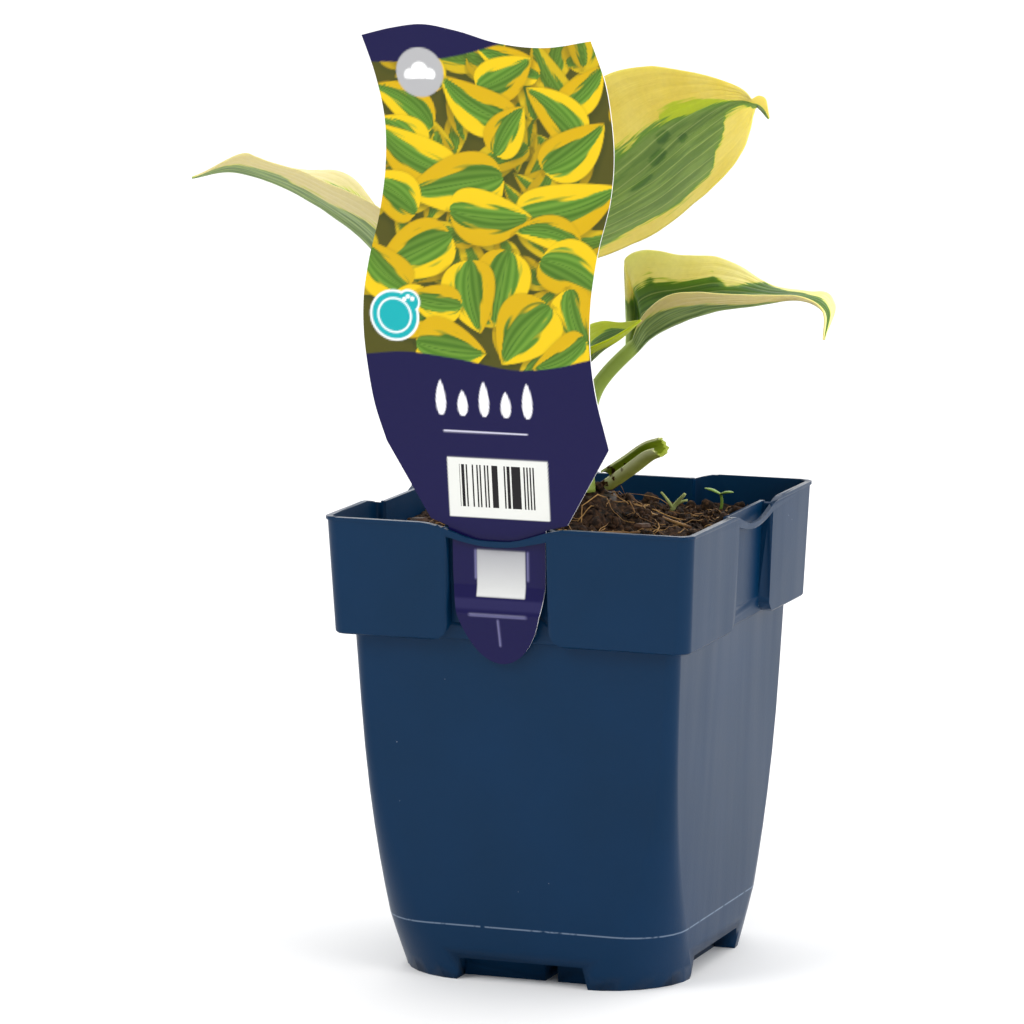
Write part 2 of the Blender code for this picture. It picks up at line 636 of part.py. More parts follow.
# Each leaf: its midrib and stalk; then for each half, from the base of the blade (0) to its tip (1),
# its width, how far its margin is swept towards the tip, its fold in degrees, and the cup
# that the fold grows by.
LEAVES = {
    "leaf_upper_right": {
        "midrib": [
            (-29.5, 24, 204.5),
            (-4.0, 20, 213.0),
            (17.0, 13, 225.0),
            (34.0, 5, 238.0),
            (49.0, -3, 247.4),
            (56.3, -6, 248.2),
            (61.8, -9, 244.6),
        ],
        "up": [(-0.21, -0.82, 0.53), (0.3, -0.78, 0.3)],
        "left": side(
            [(0, 2), (0.05, 9), (0.1, 14.5), (0.15, 20), (0.2, 25), (0.25, 28.8), (0.3, 30.7)]
            + [(0.35, 31.1), (0.4, 30), (0.5, 22.8), (0.6, 14.3), (0.69, 6.6), (0.77, 2.8)]
            + [(0.835, 1.3), (0.9, 2.4), (0.95, 2.8), (1, 0.2)],
            [(0, 0), (0.08, -7), (0.15, -12), (0.22, -13), (0.3, -9), (0.36, -5), (0.42, -1)]
            + [(0.6, -1.7), (0.835, -1.5), (0.91, -3.4), (0.95, -3.1), (1, 0)],
            [(0, 18), (0.5, 16), (0.8, 14), (1, 10)],
            10,
        ),
        "right": side(
            [(0, 2), (0.04, 8), (0.08, 13.5), (0.13, 19), (0.18, 22.6), (0.24, 25.2), (0.34, 26.6)]
            + [(0.44, 26.8), (0.52, 27.2), (0.6, 24.8), (0.68, 19.6), (0.73, 14.8), (0.77, 8.8)]
            + [(0.81, 3.8), (0.85, 1), (1, 0.2)],
            [(0, 0), (0.15, -0.5), (0.24, 1), (0.4, 0.8), (0.5, 4.6), (0.58, 8), (0.68, 9)]
            + [(0.74, 8.4), (0.77, 7), (0.81, 3.8), (0.86, 0.4), (1, 0)],
            [(0, 18), (0.5, 16), (0.8, 14), (1, 10)],
            12,
        ),
        "stalk": [(-3.5, 15.5, 133.6), (-8.0, 17.5, 150.0), (-19.0, 21.0, 178.0)],
        "stalk_width": (3.9, 3.2),
        "stalk_up": (0.3, -0.9, 0.2),
    },
    "leaf_lower_right": {
        "midrib": [
            (15.1, 8, 174.9),
            (25.0, 6, 182.2),
            (40.0, 2, 188.3),
            (56.0, -3, 191.7),
            (70.0, -7, 194.2),
            (78.1, -9, 191.1),
            (78.7, -11, 183.3),
        ],
        "up": [(-0.45, -0.1, 0.85), (0.9, -0.1, 0.45)],
        "left": side(
            [(0, 7), (0.03, 19), (0.06, 24.8), (0.1, 26.8), (0.14, 26.2), (0.18, 24.2)]
            + [(0.23, 21.4), (0.29, 19.9), (0.35, 19.4), (0.41, 17.6), (0.465, 15.1), (0.52, 12)]
            + [(0.58, 8.4), (0.64, 6), (0.71, 5.6), (0.76, 7.9), (0.8, 8.4), (0.85, 5.9), (0.9, 3.3)]
            + [(0.95, 1.5), (1, 0.2)],
            [(0, 1), (0.03, 4), (0.1, 2), (0.18, 1.2), (0.29, -1.4), (0.41, -6.8), (0.47, -6.9)]
            + [(0.58, -4.9), (0.71, -2.2), (0.8, -3.7), (0.9, -2.2), (1, 0)],
            [(0, 60), (0.2, 55), (0.4, 40), (0.6, 25), (0.8, 10), (1, 0)],
            0,
        ),
        "right": side(
            [(0, 1.8), (0.04, 4.3), (0.1, 8), (0.14, 10), (0.19, 12), (0.25, 12.6), (0.31, 11.4)]
            + [(0.385, 9.4), (0.46, 7.3), (0.535, 4.8), (0.605, 2.7), (0.7, 2.4), (0.85, 2), (1, 0.2)],
            [(0, 1.4), (0.04, 2.7), (0.1, 5.2), (0.14, 7.1), (0.2, 8.8), (0.25, 8.7), (0.31, 7.4)]
            + [(0.46, 4.1), (0.6, 1.2), (0.7, 1), (1, 0)],
            [(0, 50), (0.2, 42), (0.4, 34), (0.7, 24), (1, 20)],
            0,
        ),
        "stalk": [(2.2, 8.5, 133.8), (1.5, 9.0, 148.0), (4.5, 9.0, 163.0)],
        "stalk_width": (4.4, 3.6),
        "stalk_up": (-0.5, -0.4, 0.7),
    },
    "leaf_left": {
        "midrib": [
            (-51.3, 0, 191.0),
            (-60.2, -4, 204.1),
            (-69.5, -9, 212.9),
            (-82.0, -16, 221.5),
            (-95.0, -22, 226.0),
            (-106.6, -26, 224.0),
        ],
        "up": [(0.6, 0.0, 0.75), (-0.1, 0.0, 0.95)],
        "left": side(
            [(0, 2), (0.05, 9), (0.12, 14.5), (0.2, 17.5), (0.3, 18.2), (0.42, 16.8), (0.48, 15)]
            + [(0.6, 13), (0.66, 11.3), (0.72, 10.2), (0.77, 10.2), (0.81, 10.3), (0.85, 8)]
            + [(0.89, 5.1), (0.93, 2.8), (1, 0.2)],
            [(0, 0), (0.3, 0), (0.42, 1.6), (0.54, 0.9), (0.66, -1.6), (0.77, -3.4), (0.85, -5.4)]
            + [(0.93, -3.2), (1, 0)],
            [(0, 54), (0.3, 44), (0.45, 38), (0.6, 36), (1, 38)],
            0,
        ),
        "right": side(
            [(0, 2), (0.06, 8), (0.15, 11.5), (0.25, 13.3), (0.36, 17.5), (0.48, 22.6), (0.54, 23)]
            + [(0.6, 20.6), (0.66, 17.5), (0.8, 9), (0.9, 4), (1, 0.2)],
            [(0, 0), (0.25, -1.4), (0.36, -3.3), (0.48, -6.3), (0.6, -9.2), (0.68, -9)]
            + [(0.85, -3.5), (1, 0)],
            [(0, 36), (0.25, 26), (0.45, 22), (0.6, 14), (1, 12)],
            0,
        ),
        "stalk": [(-7.0, 8.0, 133.9), (-18.0, 6.0, 150.0), (-36.0, 3.0, 172.0)],
        "stalk_width": (3.8, 3.1),
        "stalk_up": (0.8, 0.0, 0.5),
    },
    "leaf_small": {
        "midrib": [
            (-3.5, -1, 165.8),
            (5.8, -4, 173.1),
            (11.8, -7, 177.6),
            (17.9, -9, 181.4),
            (24.7, -11, 186.8),
        ],
        "up": [(-0.6, -0.3, 0.7), (-0.5, -0.3, 0.75)],
        "left": side(
            [(0, 2), (0.06, 6.2), (0.18, 9.4), (0.32, 10), (0.5, 8.8), (0.7, 6), (0.87, 2.8)]
            + [(1, 0.2)],
            [(0, 0), (1, 0)],
            [(0, 45), (1, 35)],
            0,
        ),
        "right": side(
            [(0, 2), (0.06, 5), (0.18, 7.5), (0.32, 8), (0.5, 7), (0.7, 4.8), (0.87, 2.2), (1, 0.2)],
            [(0, 0), (1, 0)],
            [(0, 38), (1, 30)],
            0,
        ),
        "stalk": [(0.2, 4.4, 133.8), (-3.6, 3.0, 144.0), (-6.6, 1.0, 155.0)],
        "stalk_width": (2.9, 2.4),
        "stalk_up": (-0.2, -0.9, 0.3),
    },
}


def make_cut_stalk():
    green = material("cut_stalk_green", (0.27, 0.40, 0.10), 0.5)
    path = [(5.2, 14.6, 136.4), (13.0, 11.0, 141.6), (20.0, 7.0, 146.4), (25.0, 3.9, 148.5)]
    parts = tube(path, lambda t: 3.3 - 0.5 * t, 8, channel_section(0.1), up=(-0.3, -0.6, 0.8))
    return new_object("cut_leaf_stalk", *parts, green)


# ---------------------------------------------------------------- label


def label_left(b):
    """The label's left edge, at a distance b up the card from the strap."""
    narrow, wide = LABEL_NECK
    neck = [(0, -17.2), (narrow, -17.3), (wide, -22.4)]
    bulge = [(26.3, -34.5), (36, -37.3), (57.7, -39.6), (77.6, -37.0), (91.3, -32.9)]
    waist = [(105, -30.3), (117.6, -29.9), (129.3, -31.9), (LABEL_HEIGHT, -35.4)]
    return keyed_line(neck + bulge + waist, b)


def label_right(b):
    narrow, wide = LABEL_NECK
    neck = [(0, 11.6), (narrow, 11.7), (wide, 18.2)]
    waist = [(26.8, 31.4), (43.2, 28.0), (54.8, 27.1), (68.6, 28.0), (82.2, 30.7)]
    bulge = [(97.8, 35.2), (109.2, 36.6), (118.9, 36.4), (130.2, 34.9), (LABEL_HEIGHT, 31.4)]
    return keyed_line(neck + waist + bulge, b)


def label_top(a):
    """The wavy top edge's height up the card, at a place a across it."""
    crest = [(-36, LABEL_HEIGHT), (-26, 143.7), (-17.8, 144.8), (-7.9, 143.3)]
    trough = [(4.2, 140.1), (18, 139.1), (32, 141.4)]
    return keyed_line(crest + trough, a)


def keyed_line(keys, t):
    """A value read off straight lines between keys."""
    places, values = zip(*keys)
    return float(np.interp(t, places, values))


def tongue_edges(d):
    """The left and right edges of the tongue at a distance d below the strap."""
    rounding = max(0.0, (d - TONGUE_STRAIGHT) / (TONGUE_LENGTH - TONGUE_STRAIGHT))
    taper = math.sqrt(max(0.0, 1 - rounding**2.2))
    reach = TONGUE_HALF * max(taper, 0.08)
    return TONGUE_MIDDLE - reach, TONGUE_MIDDLE + reach


# The tongue's creases: distance down from the strap, then offset in y and in z
TONGUE_PROFILE = [
    (0.0, 0.0, 0.0),
    (7.0, 0.2, -7.0),
    (14.0, 0.4, -14.0),
    (22.5, -1.4, -22.0),
    (30.0, 0.6, -29.0),
    (TONGUE_LENGTH, 2.3, -36.3),
]


def make_label():
    violet = material("printed_polypropylene_card", (0.026, 0.020, 0.095), 0.35)
    lean = math.radians(LABEL_LEAN)
    rows = []
    for k in range(TONGUE_ROWS):
        d = TONGUE_LENGTH * (1 - k / TONGUE_ROWS)
        left, right = tongue_edges(d)
        drop = [(s, y) for s, y, _ in TONGUE_PROFILE]
        fall = [(s, z) for s, _, z in TONGUE_PROFILE]
        y = LABEL_SLOT_Y + keyed_line(drop, d)
        z = LABEL_SLOT_Z + keyed_line(fall, d)
        across = [left + (right - left) * j / LABEL_COLUMNS for j in range(LABEL_COLUMNS + 1)]
        rows.append([Vector((a, y, z)) for a in across])
    narrow, wide = LABEL_NECK
    card = [wide + (LABEL_HEIGHT - wide) * k / LABEL_ROWS for k in range(LABEL_ROWS + 1)]
    for base in [0.0, narrow] + card:
        share = base / LABEL_HEIGHT
        left, right = label_left(base), label_right(base)
        row = []
        for j in range(LABEL_COLUMNS + 1):
            a = left + (right - left) * j / LABEL_COLUMNS
            b = base + (label_top(a) - LABEL_HEIGHT) * share**3
            row.append(Vector((a, LABEL_SLOT_Y - b * math.sin(lean), LABEL_SLOT_Z + b * math.cos(lean))))
        rows.append(row)
    return new_object("plant_label", *sheet_solid(rows, LABEL_THICKNESS), violet)


# ---------------------------------------------------------------- small things on the medium


def surface_tree():
    points, faces = soil_solid(WALL + GAP)
    return BVHTree.FromPolygons([Vector(p) for p in points], faces)


def top_of(tree, x, y, reach=0.6):
    """The highest point of the medium under a small round footprint."""
    heights = []
    for i in range(9):
        a = math.pi / 4 * i
        r = 0.0 if i == 8 else reach
        hit = tree.ray_cast(Vector((x + r * math.cos(a), y + r * math.sin(a), 200)), Vector((0, 0, -1)))[0]
        heights.append(hit.z)
    return max(heights)


def bridging(places, heights):
    """Heights of a stiff straw that lies on the high points: the upper hull of the ground under it."""
    hull = []
    for point in zip(places, heights):
        while len(hull) > 1:
            (x0, z0), (x1, z1) = hull[-2], hull[-1]
            if (z1 - z0) * (point[0] - x0) > (point[1] - z0) * (x1 - x0):
                break
            hull.pop()
        hull.append(point)
    return [keyed_line(hull, place) for place in places]


# x, y, length, turn in degrees, radius
STRAWS = [
    (16.0, -14.0, 18.0, 25.0, 0.42),
    (34.0, -20.0, 14.0, 60.0, 0.40),
    (26.0, 10.0, 20.0, -35.0, 0.45),
    (38.0, 26.0, 13.0, 80.0, 0.40),
    (-28.0, 2.0, 22.0, 10.0, 0.50),
    (-36.0, 22.0, 16.0, -20.0, 0.42),
    (-20.0, 30.0, 17.0, 40.0, 0.42),
    (6.0, 34.0, 15.0, -10.0, 0.40),
]


def make_straws(tree):
    straw = material("coir_straw", (0.38, 0.22, 0.07), 0.7)
    for k, (x, y, length, turn, radius) in enumerate(STRAWS):
        a = math.radians(turn)
        places = [length * (i / 12 - 0.5) for i in range(13)]
        spots = [(x + s * math.cos(a), y + s * math.sin(a)) for s in places]
        heights = bridging(places, [top_of(tree, *spot) for spot in spots])
        path = [(px, py, h + radius + GAP + 0.1) for (px, py), h in zip(spots, heights)]
        new_object(f"straw_{k + 1}", *tube(path, lambda t: radius, 12, round_section(6)), straw)


# x, y, length, turn in degrees
CHIPS = [(22.0, -2.0, 5.0, 30.0), (44.0, 8.0, 4.0, 70.0), (-42.0, -14.0, 5.5, 15.0)]


def make_chips(tree):
    bark = material("bark", (0.07, 0.035, 0.018), 0.9)
    for k, (x, y, length, turn) in enumerate(CHIPS):
        a = math.radians(turn)
        foot = top_of(tree, x, y, length * 0.62) + GAP + 0.05
        points = []
        for z, shrink in ((0.0, 0.9), (0.9, 1.0), (1.7, 0.75)):
            for i in range(7):
                b = 2 * math.pi * i / 7
                reach = length / 2 * shrink * (1 + 0.18 * math.sin(3 * b + k))
                u, v = reach * math.cos(b), 0.6 * reach * math.sin(b)
                px = x + u * math.cos(a) - v * math.sin(a)
                py = y + u * math.sin(a) + v * math.cos(a)
                points.append((px, py, foot + z))
        rings = [points[:7], points[7:14], points[14:]]
        new_object(f"bark_chip_{k + 1}", *loft(rings), bark)


def seed_leaf_width(t):
    return 0.35 + math.sin(math.pi * (0.05 + 0.949 * t)) ** 0.8


def make_seedling(tree):
    """A weed seedling: a thread of a stem and two little seed leaves."""
    green = material("seedling_green", (0.20, 0.42, 0.05), 0.5)
    x, y = SEEDLING
    foot = top_of(tree, x, y, 0.5) + GAP
    stem = [(x, y, foot), (x + 0.4, y, foot + 2.5), (x, y - 0.2, foot + 5.0)]
    thread = tube(stem, lambda t: 0.45, 5, round_section(6), up=(0, 1, 0))
    seedling = new_object("weed_seedling", *thread, green)
    for k, (dx, dz) in enumerate(((-4.6, 1.4), (4.2, 0.6))):
        path = [
            (x - dx * 0.05, y - 0.2, foot + 4.7),
            (x + dx * 0.5, y - 0.6, foot + 5.2 + dz / 2),
            (x + dx, y - 1, foot + 5 + dz),
        ]
        leaf = tube(path, seed_leaf_width, 7, round_section(8, flat=0.28))
        boolean(seedling, "UNION", cutter(f"seedling_leaf_{k + 1}", *leaf))
    return seedling


def make_sprig(tree):
    """A pale sprig of moss, forked twice."""
    pale = material("sprig_green", (0.36, 0.46, 0.16), 0.6)
    x, y = SPRIG
    foot = top_of(tree, x, y, 1.0) + GAP + 0.1
    main = [(x, y, foot), (x + 1.5, y, foot + 2.5), (x + 4.5, y - 1, foot + 5.5)]
    stem = tube(main, lambda t: 0.75 - 0.3 * t, 6, round_section(6), up=(0, 1, 0))
    sprig = new_object("moss_sprig", *stem, pale)
    for k, (dx, dy, dz) in enumerate(((-3.4, 0.6, 4.2), (4.6, 1.0, 2.2))):
        path = [
            (x + 0.3, y, foot + 1.2),
            (x + dx / 2, y + dy / 2, foot + 1.6 + dz / 2),
            (x + dx, y + dy, foot + 1.2 + dz),
        ]
        fork = tube(path, lambda t: 0.6 - 0.25 * t, 5, round_section(6), up=(0, 1, 0.2))
        boolean(sprig, "UNION", cutter(f"sprig_fork_{k + 1}", *fork))
    return sprig


def main():
    clear_scene()
    make_pot()
    make_medium()
    crown_solid("crown_with_roots", 0.0, material("crown_and_roots", (0.42, 0.33, 0.18), 0.8))
    blade = material("variegated_leaf", (0.14, 0.27, 0.07), 0.45)
    for name, leaf in LEAVES.items():
        make_leaf(name, leaf, blade)
    make_cut_stalk()
    make_label()
    tree = surface_tree()
    make_straws(tree)
    make_chips(tree)
    make_seedling(tree)
    make_sprig(tree)


main()
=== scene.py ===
"""The finished look of a potted hosta: moulded pot, peat and coir, variegated leaves and a card label.

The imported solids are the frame. Lengths are written in millimetres and turned to metres when a mesh is made.
"""

import math

import bmesh
import bpy
import numpy as np
from mathutils import Matrix, Vector, noise


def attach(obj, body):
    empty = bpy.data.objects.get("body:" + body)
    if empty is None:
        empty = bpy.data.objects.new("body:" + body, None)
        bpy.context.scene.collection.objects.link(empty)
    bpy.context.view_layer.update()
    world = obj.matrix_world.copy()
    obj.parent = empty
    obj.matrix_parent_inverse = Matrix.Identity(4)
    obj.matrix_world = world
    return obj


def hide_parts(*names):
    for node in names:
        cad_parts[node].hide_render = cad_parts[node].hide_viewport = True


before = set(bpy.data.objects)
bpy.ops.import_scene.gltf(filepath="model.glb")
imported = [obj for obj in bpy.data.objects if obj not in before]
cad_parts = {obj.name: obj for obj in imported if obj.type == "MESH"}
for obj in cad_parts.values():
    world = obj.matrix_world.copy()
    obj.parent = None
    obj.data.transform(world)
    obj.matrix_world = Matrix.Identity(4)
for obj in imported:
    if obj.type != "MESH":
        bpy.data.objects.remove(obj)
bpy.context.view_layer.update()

bl_info = {
    "name": "Potted hosta",
    "version": (1, 0, 0),
    "blender": (4, 5, 0),
    "location": "View3D > Sidebar > Hosta",
    "description": "Builds the finished look of a variegated hosta in a square nursery pot",
    "category": "Add Mesh",
}

MM = 0.001
MIX, MATH = "ShaderNodeMix", "ShaderNodeMath"
NOISE, RANGE = "ShaderNodeTexNoise", "ShaderNodeMapRange"


# ---------------------------------------------------------------- general helpers


def linear(code):
    """The linear RGB of an sRGB hex colour such as "1f3d5c"."""
    values = [int(code[i : i + 2], 16) / 255 for i in (0, 2, 4)]
    return tuple(v / 12.92 if v <= 0.04045 else ((v + 0.055) / 1.055) ** 2.4 for v in values)


def rgba(code):
    return (*linear(code), 1.0)


def add(tree, kind, inputs=None, **settings):
    """Adds a node: settings are its options, and inputs gives sockets a value or another node's output."""
    node = tree.nodes.new(kind)
    for key, value in settings.items():
        setattr(node, key, value)
    for key, value in (inputs or {}).items():
        if isinstance(value, bpy.types.NodeSocket):
            tree.links.new(value, node.inputs[key])
        else:
            node.inputs[key].default_value = value
    return node


def new_material(name, roughness, ior=1.5):
    """A Principled material; returns it with its tree, its shader and its Texture Coordinate node."""
    mat = bpy.data.materials.new(name)
    mat.use_nodes = True
    tree = mat.node_tree
    shader = tree.nodes["Principled BSDF"]
    shader.inputs["Roughness"].default_value = roughness
    shader.inputs["IOR"].default_value = ior
    return mat, tree, shader, add(tree, "ShaderNodeTexCoord").outputs["Object"]


def smooth(u):
    u = np.clip(u, 0.0, 1.0)
    return u * u * (3.0 - 2.0 * u)


def unit(v):
    return v / np.maximum(np.linalg.norm(v, axis=-1, keepdims=True), 1e-12)


def lines(keys, t):
    """Values read off straight lines between keys."""
    places, values = zip(*keys)
    return np.interp(t, places, values)


def spline(points, t):
    """Points on the smooth curve through all the points, for an array t from 0 to 1."""
    points = np.array(points, float)
    place = np.clip(t, 0, 1) * (len(points) - 1)
    i = np.minimum(place.astype(int), len(points) - 2)
    u = (place - i)[:, None]
    ends = np.vstack([2 * points[0] - points[1], points, 2 * points[-1] - points[-2]])
    a, b, c, d = ends[i], ends[i + 1], ends[i + 2], ends[i + 3]
    return 0.5 * (2 * b + (c - a) * u + (2 * a - 5 * b + 4 * c - d) * u**2 + (3 * b - a - 3 * c + d) * u**3)


def flowing(keys, t):
    """Values on a smooth curve through (place, value) keys."""
    places, values = (np.array(v, float) for v in zip(*keys))
    slopes = np.gradient(values, places)
    i = np.clip(np.searchsorted(places, t) - 1, 0, len(places) - 2)
    span = places[i + 1] - places[i]
    u = np.clip((t - places[i]) / span, 0, 1)
    ends = (1 + 2 * u) * (1 - u) ** 2 * values[i] + u * u * (3 - 2 * u) * values[i + 1]
    return ends + span * (u * (1 - u) ** 2 * slopes[i] - u * u * (1 - u) * slopes[i + 1])


def directions(points, t, step=0.002):
    return unit(spline(points, np.minimum(t + step, 1)) - spline(points, np.maximum(t - step, 0)))


def piece(name, points, faces, materials, slot, replaced=(), sharp=40, paint=None, face_slots=None):
    """A finished piece from points in millimetres: smooth, painted, normals out, riding on the root body."""
    mesh = bpy.data.meshes.new(name)
    mesh.from_pydata(np.asarray(points, float) * MM, [], faces)
    for mat in materials:
        mesh.materials.append(mat)
    if face_slots is not None:
        mesh.polygons.foreach_set("material_index", np.asarray(face_slots, np.int32))
    for key, values in (paint or {}).items():
        kind, word = ("FLOAT_COLOR", "color") if values.shape[1] == 4 else ("FLOAT_VECTOR", "vector")
        mesh.attributes.new(key, kind, "POINT").data.foreach_set(word, values.astype(np.float32).ravel())
    work = bmesh.new()
    work.from_mesh(mesh)
    bmesh.ops.recalc_face_normals(work, faces=work.faces)
    work.to_mesh(mesh)
    work.free()
    mesh.shade_smooth()
    mesh.set_sharp_from_angle(angle=math.radians(sharp))
    obj = bpy.data.objects.new(name, mesh)
    bpy.context.scene.collection.objects.link(obj)
    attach(obj, "root")
    if replaced:
        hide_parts(*replaced)
    return obj


def grid_faces(height, width):
    """Quads of a grid of points, row after row."""
    at = np.arange(height * width).reshape(height, width)
    corners = (at[:-1, :-1], at[:-1, 1:], at[1:, 1:], at[1:, :-1])
    return np.stack([c.ravel() for c in corners], 1)


def rim_of(height, width):
    """The points round the edge of a grid, in order."""
    at = np.arange(height * width).reshape(height, width)
    return np.concatenate([at[0, :], at[1:, -1], at[-1, -2::-1], at[-2:0:-1, 0]])


def sheet_faces(height, width):
    """Faces of a closed sheet: an upper grid, a lower grid after it, and the edge between them."""
    upper = grid_faces(height, width)
    lower = upper[:, ::-1] + height * width
    rim = rim_of(height, width)
    after = np.roll(rim, -1)
    edge = np.stack([after, rim, rim + height * width, after + height * width], 1)
    return np.concatenate([upper, lower, edge]), len(edge)


def tube(path, radii, count=6, flat=1.0, up=(0, 0, 1)):
    """A closed round sweep along points in millimetres; radii has one radius for each point."""
    path = np.asarray(path, float)
    along = unit(np.gradient(path, axis=0))
    side = unit(np.cross(along, np.array(up, float)))
    top = np.cross(side, along)
    turn = 2 * math.pi * np.arange(count) / count
    ring = np.cos(turn)[None, :, None] * side[:, None] + flat * np.sin(turn)[None, :, None] * top[:, None]
    points = (path[:, None] + np.asarray(radii, float)[:, None, None] * ring).reshape(-1, 3)
    faces = []
    for r in range(len(path) - 1):
        for i in range(count):
            j = (i + 1) % count
            low, high = r * count, (r + 1) * count
            faces.append((low + i, low + j, high + j, high + i))
    faces.append(tuple(reversed(range(count))))
    faces.append(tuple((len(path) - 1) * count + i for i in range(count)))
    return points, faces


def joined(parts):
    """Several (points, faces) as one."""
    points, faces, start = [], [], 0
    for part_points, part_faces in parts:
        points.append(np.asarray(part_points))
        faces.extend(tuple(int(start + i) for i in face) for face in part_faces)
        start += len(part_points)
    return np.concatenate(points), faces


def merged_copy(name, node, mat, sharp=30):
    """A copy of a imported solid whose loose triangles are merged, so that it can be shaded smooth."""
    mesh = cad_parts[node].data.copy()
    mesh.name = name
    mesh.materials.clear()
    mesh.materials.append(mat)
    work = bmesh.new()
    work.from_mesh(mesh)
    bmesh.ops.remove_doubles(work, verts=work.verts, dist=0.00002)
    bmesh.ops.recalc_face_normals(work, faces=work.faces)
    work.to_mesh(mesh)
    work.free()
    mesh.shade_smooth()
    mesh.set_sharp_from_angle(angle=math.radians(sharp))
    obj = bpy.data.objects.new(name, mesh)
    bpy.context.scene.collection.objects.link(obj)
    even = obj.modifiers.new("even_shading", "WEIGHTED_NORMAL")
    even.keep_sharp = True
    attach(obj, "root")
    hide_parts(node)
    return obj


# ---------------------------------------------------------------- pot

RIM_HEIGHT = 133.2
COLLAR_FOOT = 99.7
COLLAR_FOOT_HALF = 53.1
COLLAR_TOP_HALF = 54.6
COLLAR_RADIUS = 4.0
BODY_TOP_HALF = 48.7
WELD_HEIGHT = 16.3
WELD_HALF = 44.5
FOOT_HALF = 42.6
WALL = 1.2
GAP = 0.3
POCKET = (-17.8, 12.2)
POCKET_DEPTH = 3.3


def pot_material(settings):
    """Polypropylene, injection-moulded: even and satin, with faint flow marks and a pale raised weld line."""
    mat, tree, shader, place = new_material("moulded_polypropylene", settings.roughness, 1.49)
    shader.inputs["Specular IOR Level"].default_value = 0.14
    drawn = add(tree, "ShaderNodeMapping", {"Vector": place, "Scale": (120, 120, 9)}).outputs[0]
    flow = add(tree, NOISE, {"Vector": drawn, "Scale": 1.0, "Detail": 3.0}).outputs["Fac"]
    cloud = add(tree, NOISE, {"Vector": place, "Scale": 30.0, "Detail": 3.0}).outputs["Fac"]
    shade = add(tree, MIX, {0: cloud, 6: settings.dark, 7: settings.pale}, data_type="RGBA").outputs[2]

    height = add(tree, "ShaderNodeSeparateXYZ", {0: place}).outputs["Z"]
    off = add(tree, MATH, {0: height, 1: WELD_HEIGHT * MM}, operation="SUBTRACT").outputs[0]
    off = add(tree, MATH, {0: off}, operation="ABSOLUTE").outputs[0]
    line = add(
        tree, RANGE, {"Value": off, "From Min": 0.00012, "From Max": 0.0003, "To Min": 1.0, "To Max": 0.0}
    ).outputs[0]
    chips = add(tree, NOISE, {"Vector": place, "Scale": 420.0, "Detail": 2.0}).outputs["Fac"]
    broken = add(tree, RANGE, {"Value": chips, "From Min": 0.3, "From Max": 0.44}).outputs[0]
    line = add(tree, MATH, {0: line, 1: broken}, operation="MULTIPLY").outputs[0]
    line = add(tree, MATH, {0: line, 1: 0.34}, operation="MULTIPLY").outputs[0]
    shade = add(tree, MIX, {0: line, 6: shade, 7: rgba("9fb2c9")}, data_type="RGBA").outputs[2]

    # Dust: a pale fleck of about 0.2 mm in one cell in six, with cells 5 mm apart
    cells = add(tree, "ShaderNodeTexVoronoi", {"Vector": place, "Scale": 200.0})
    span = {"From Min": 0.015, "From Max": 0.035, "To Min": 1.0, "To Max": 0.0}
    fleck = add(tree, RANGE, {"Value": cells.outputs["Distance"], **span}).outputs[0]
    pick = add(tree, "ShaderNodeSeparateColor", {0: cells.outputs["Color"]}).outputs[0]
    pick = add(tree, MATH, {0: pick, 1: 0.84}, operation="GREATER_THAN").outputs[0]
    fleck = add(tree, MATH, {0: fleck, 1: pick}, operation="MULTIPLY").outputs[0]
    fleck = add(tree, MATH, {0: fleck, 1: 0.55}, operation="MULTIPLY").outputs[0]
    shade = add(tree, MIX, {0: fleck, 6: shade, 7: rgba("b9c4d2")}, data_type="RGBA").outputs[2]
    tree.links.new(shade, shader.inputs["Base Color"])

    low, high = settings.roughness - 0.03, settings.roughness + 0.04
    gloss = add(
        tree, RANGE, {"Value": flow, "From Min": 0.3, "From Max": 0.7, "To Min": low, "To Max": high}
    ).outputs[0]
    tree.links.new(gloss, shader.inputs["Roughness"])
    grain = add(tree, NOISE, {"Vector": place, "Scale": 1600.0, "Detail": 2.0}).outputs["Fac"]
    relief = add(tree, MATH, {0: flow, 1: 1.0, 2: grain}, operation="MULTIPLY_ADD").outputs[0]
    bump = add(tree, "ShaderNodeBump", {"Height": relief, "Strength": 0.12, "Distance": 0.0002}).outputs[0]
    tree.links.new(bump, shader.inputs["Normal"])
    return mat


# ---------------------------------------------------------------- growing medium

SOIL_LEVEL = 125.0
CROWN = (-1.0, 11.0)
MEDIUM_FLOOR = 9.0
RINGS = 84
SIDE_STEPS = 84
CORNER_STEPS = 7
MOUND_RISE, MOUND_SPREAD = 9.6, 16.5  # over the crown
HOLLOW, HOLLOW_DEPTH, HOLLOW_SPREAD = (16.0, -6.0), 2.2, 6.0  # in front of the cut stalk
LUMP_RISE = 1.1
CLODS = ((6.5, 2.1, 0.0), (3.1, 1.15, 9.0), (1.5, 0.55, 21.0))  # size, rise and layer of the noise
GRAIN_SIZE, GRAIN_RISE = 1.3, 0.35


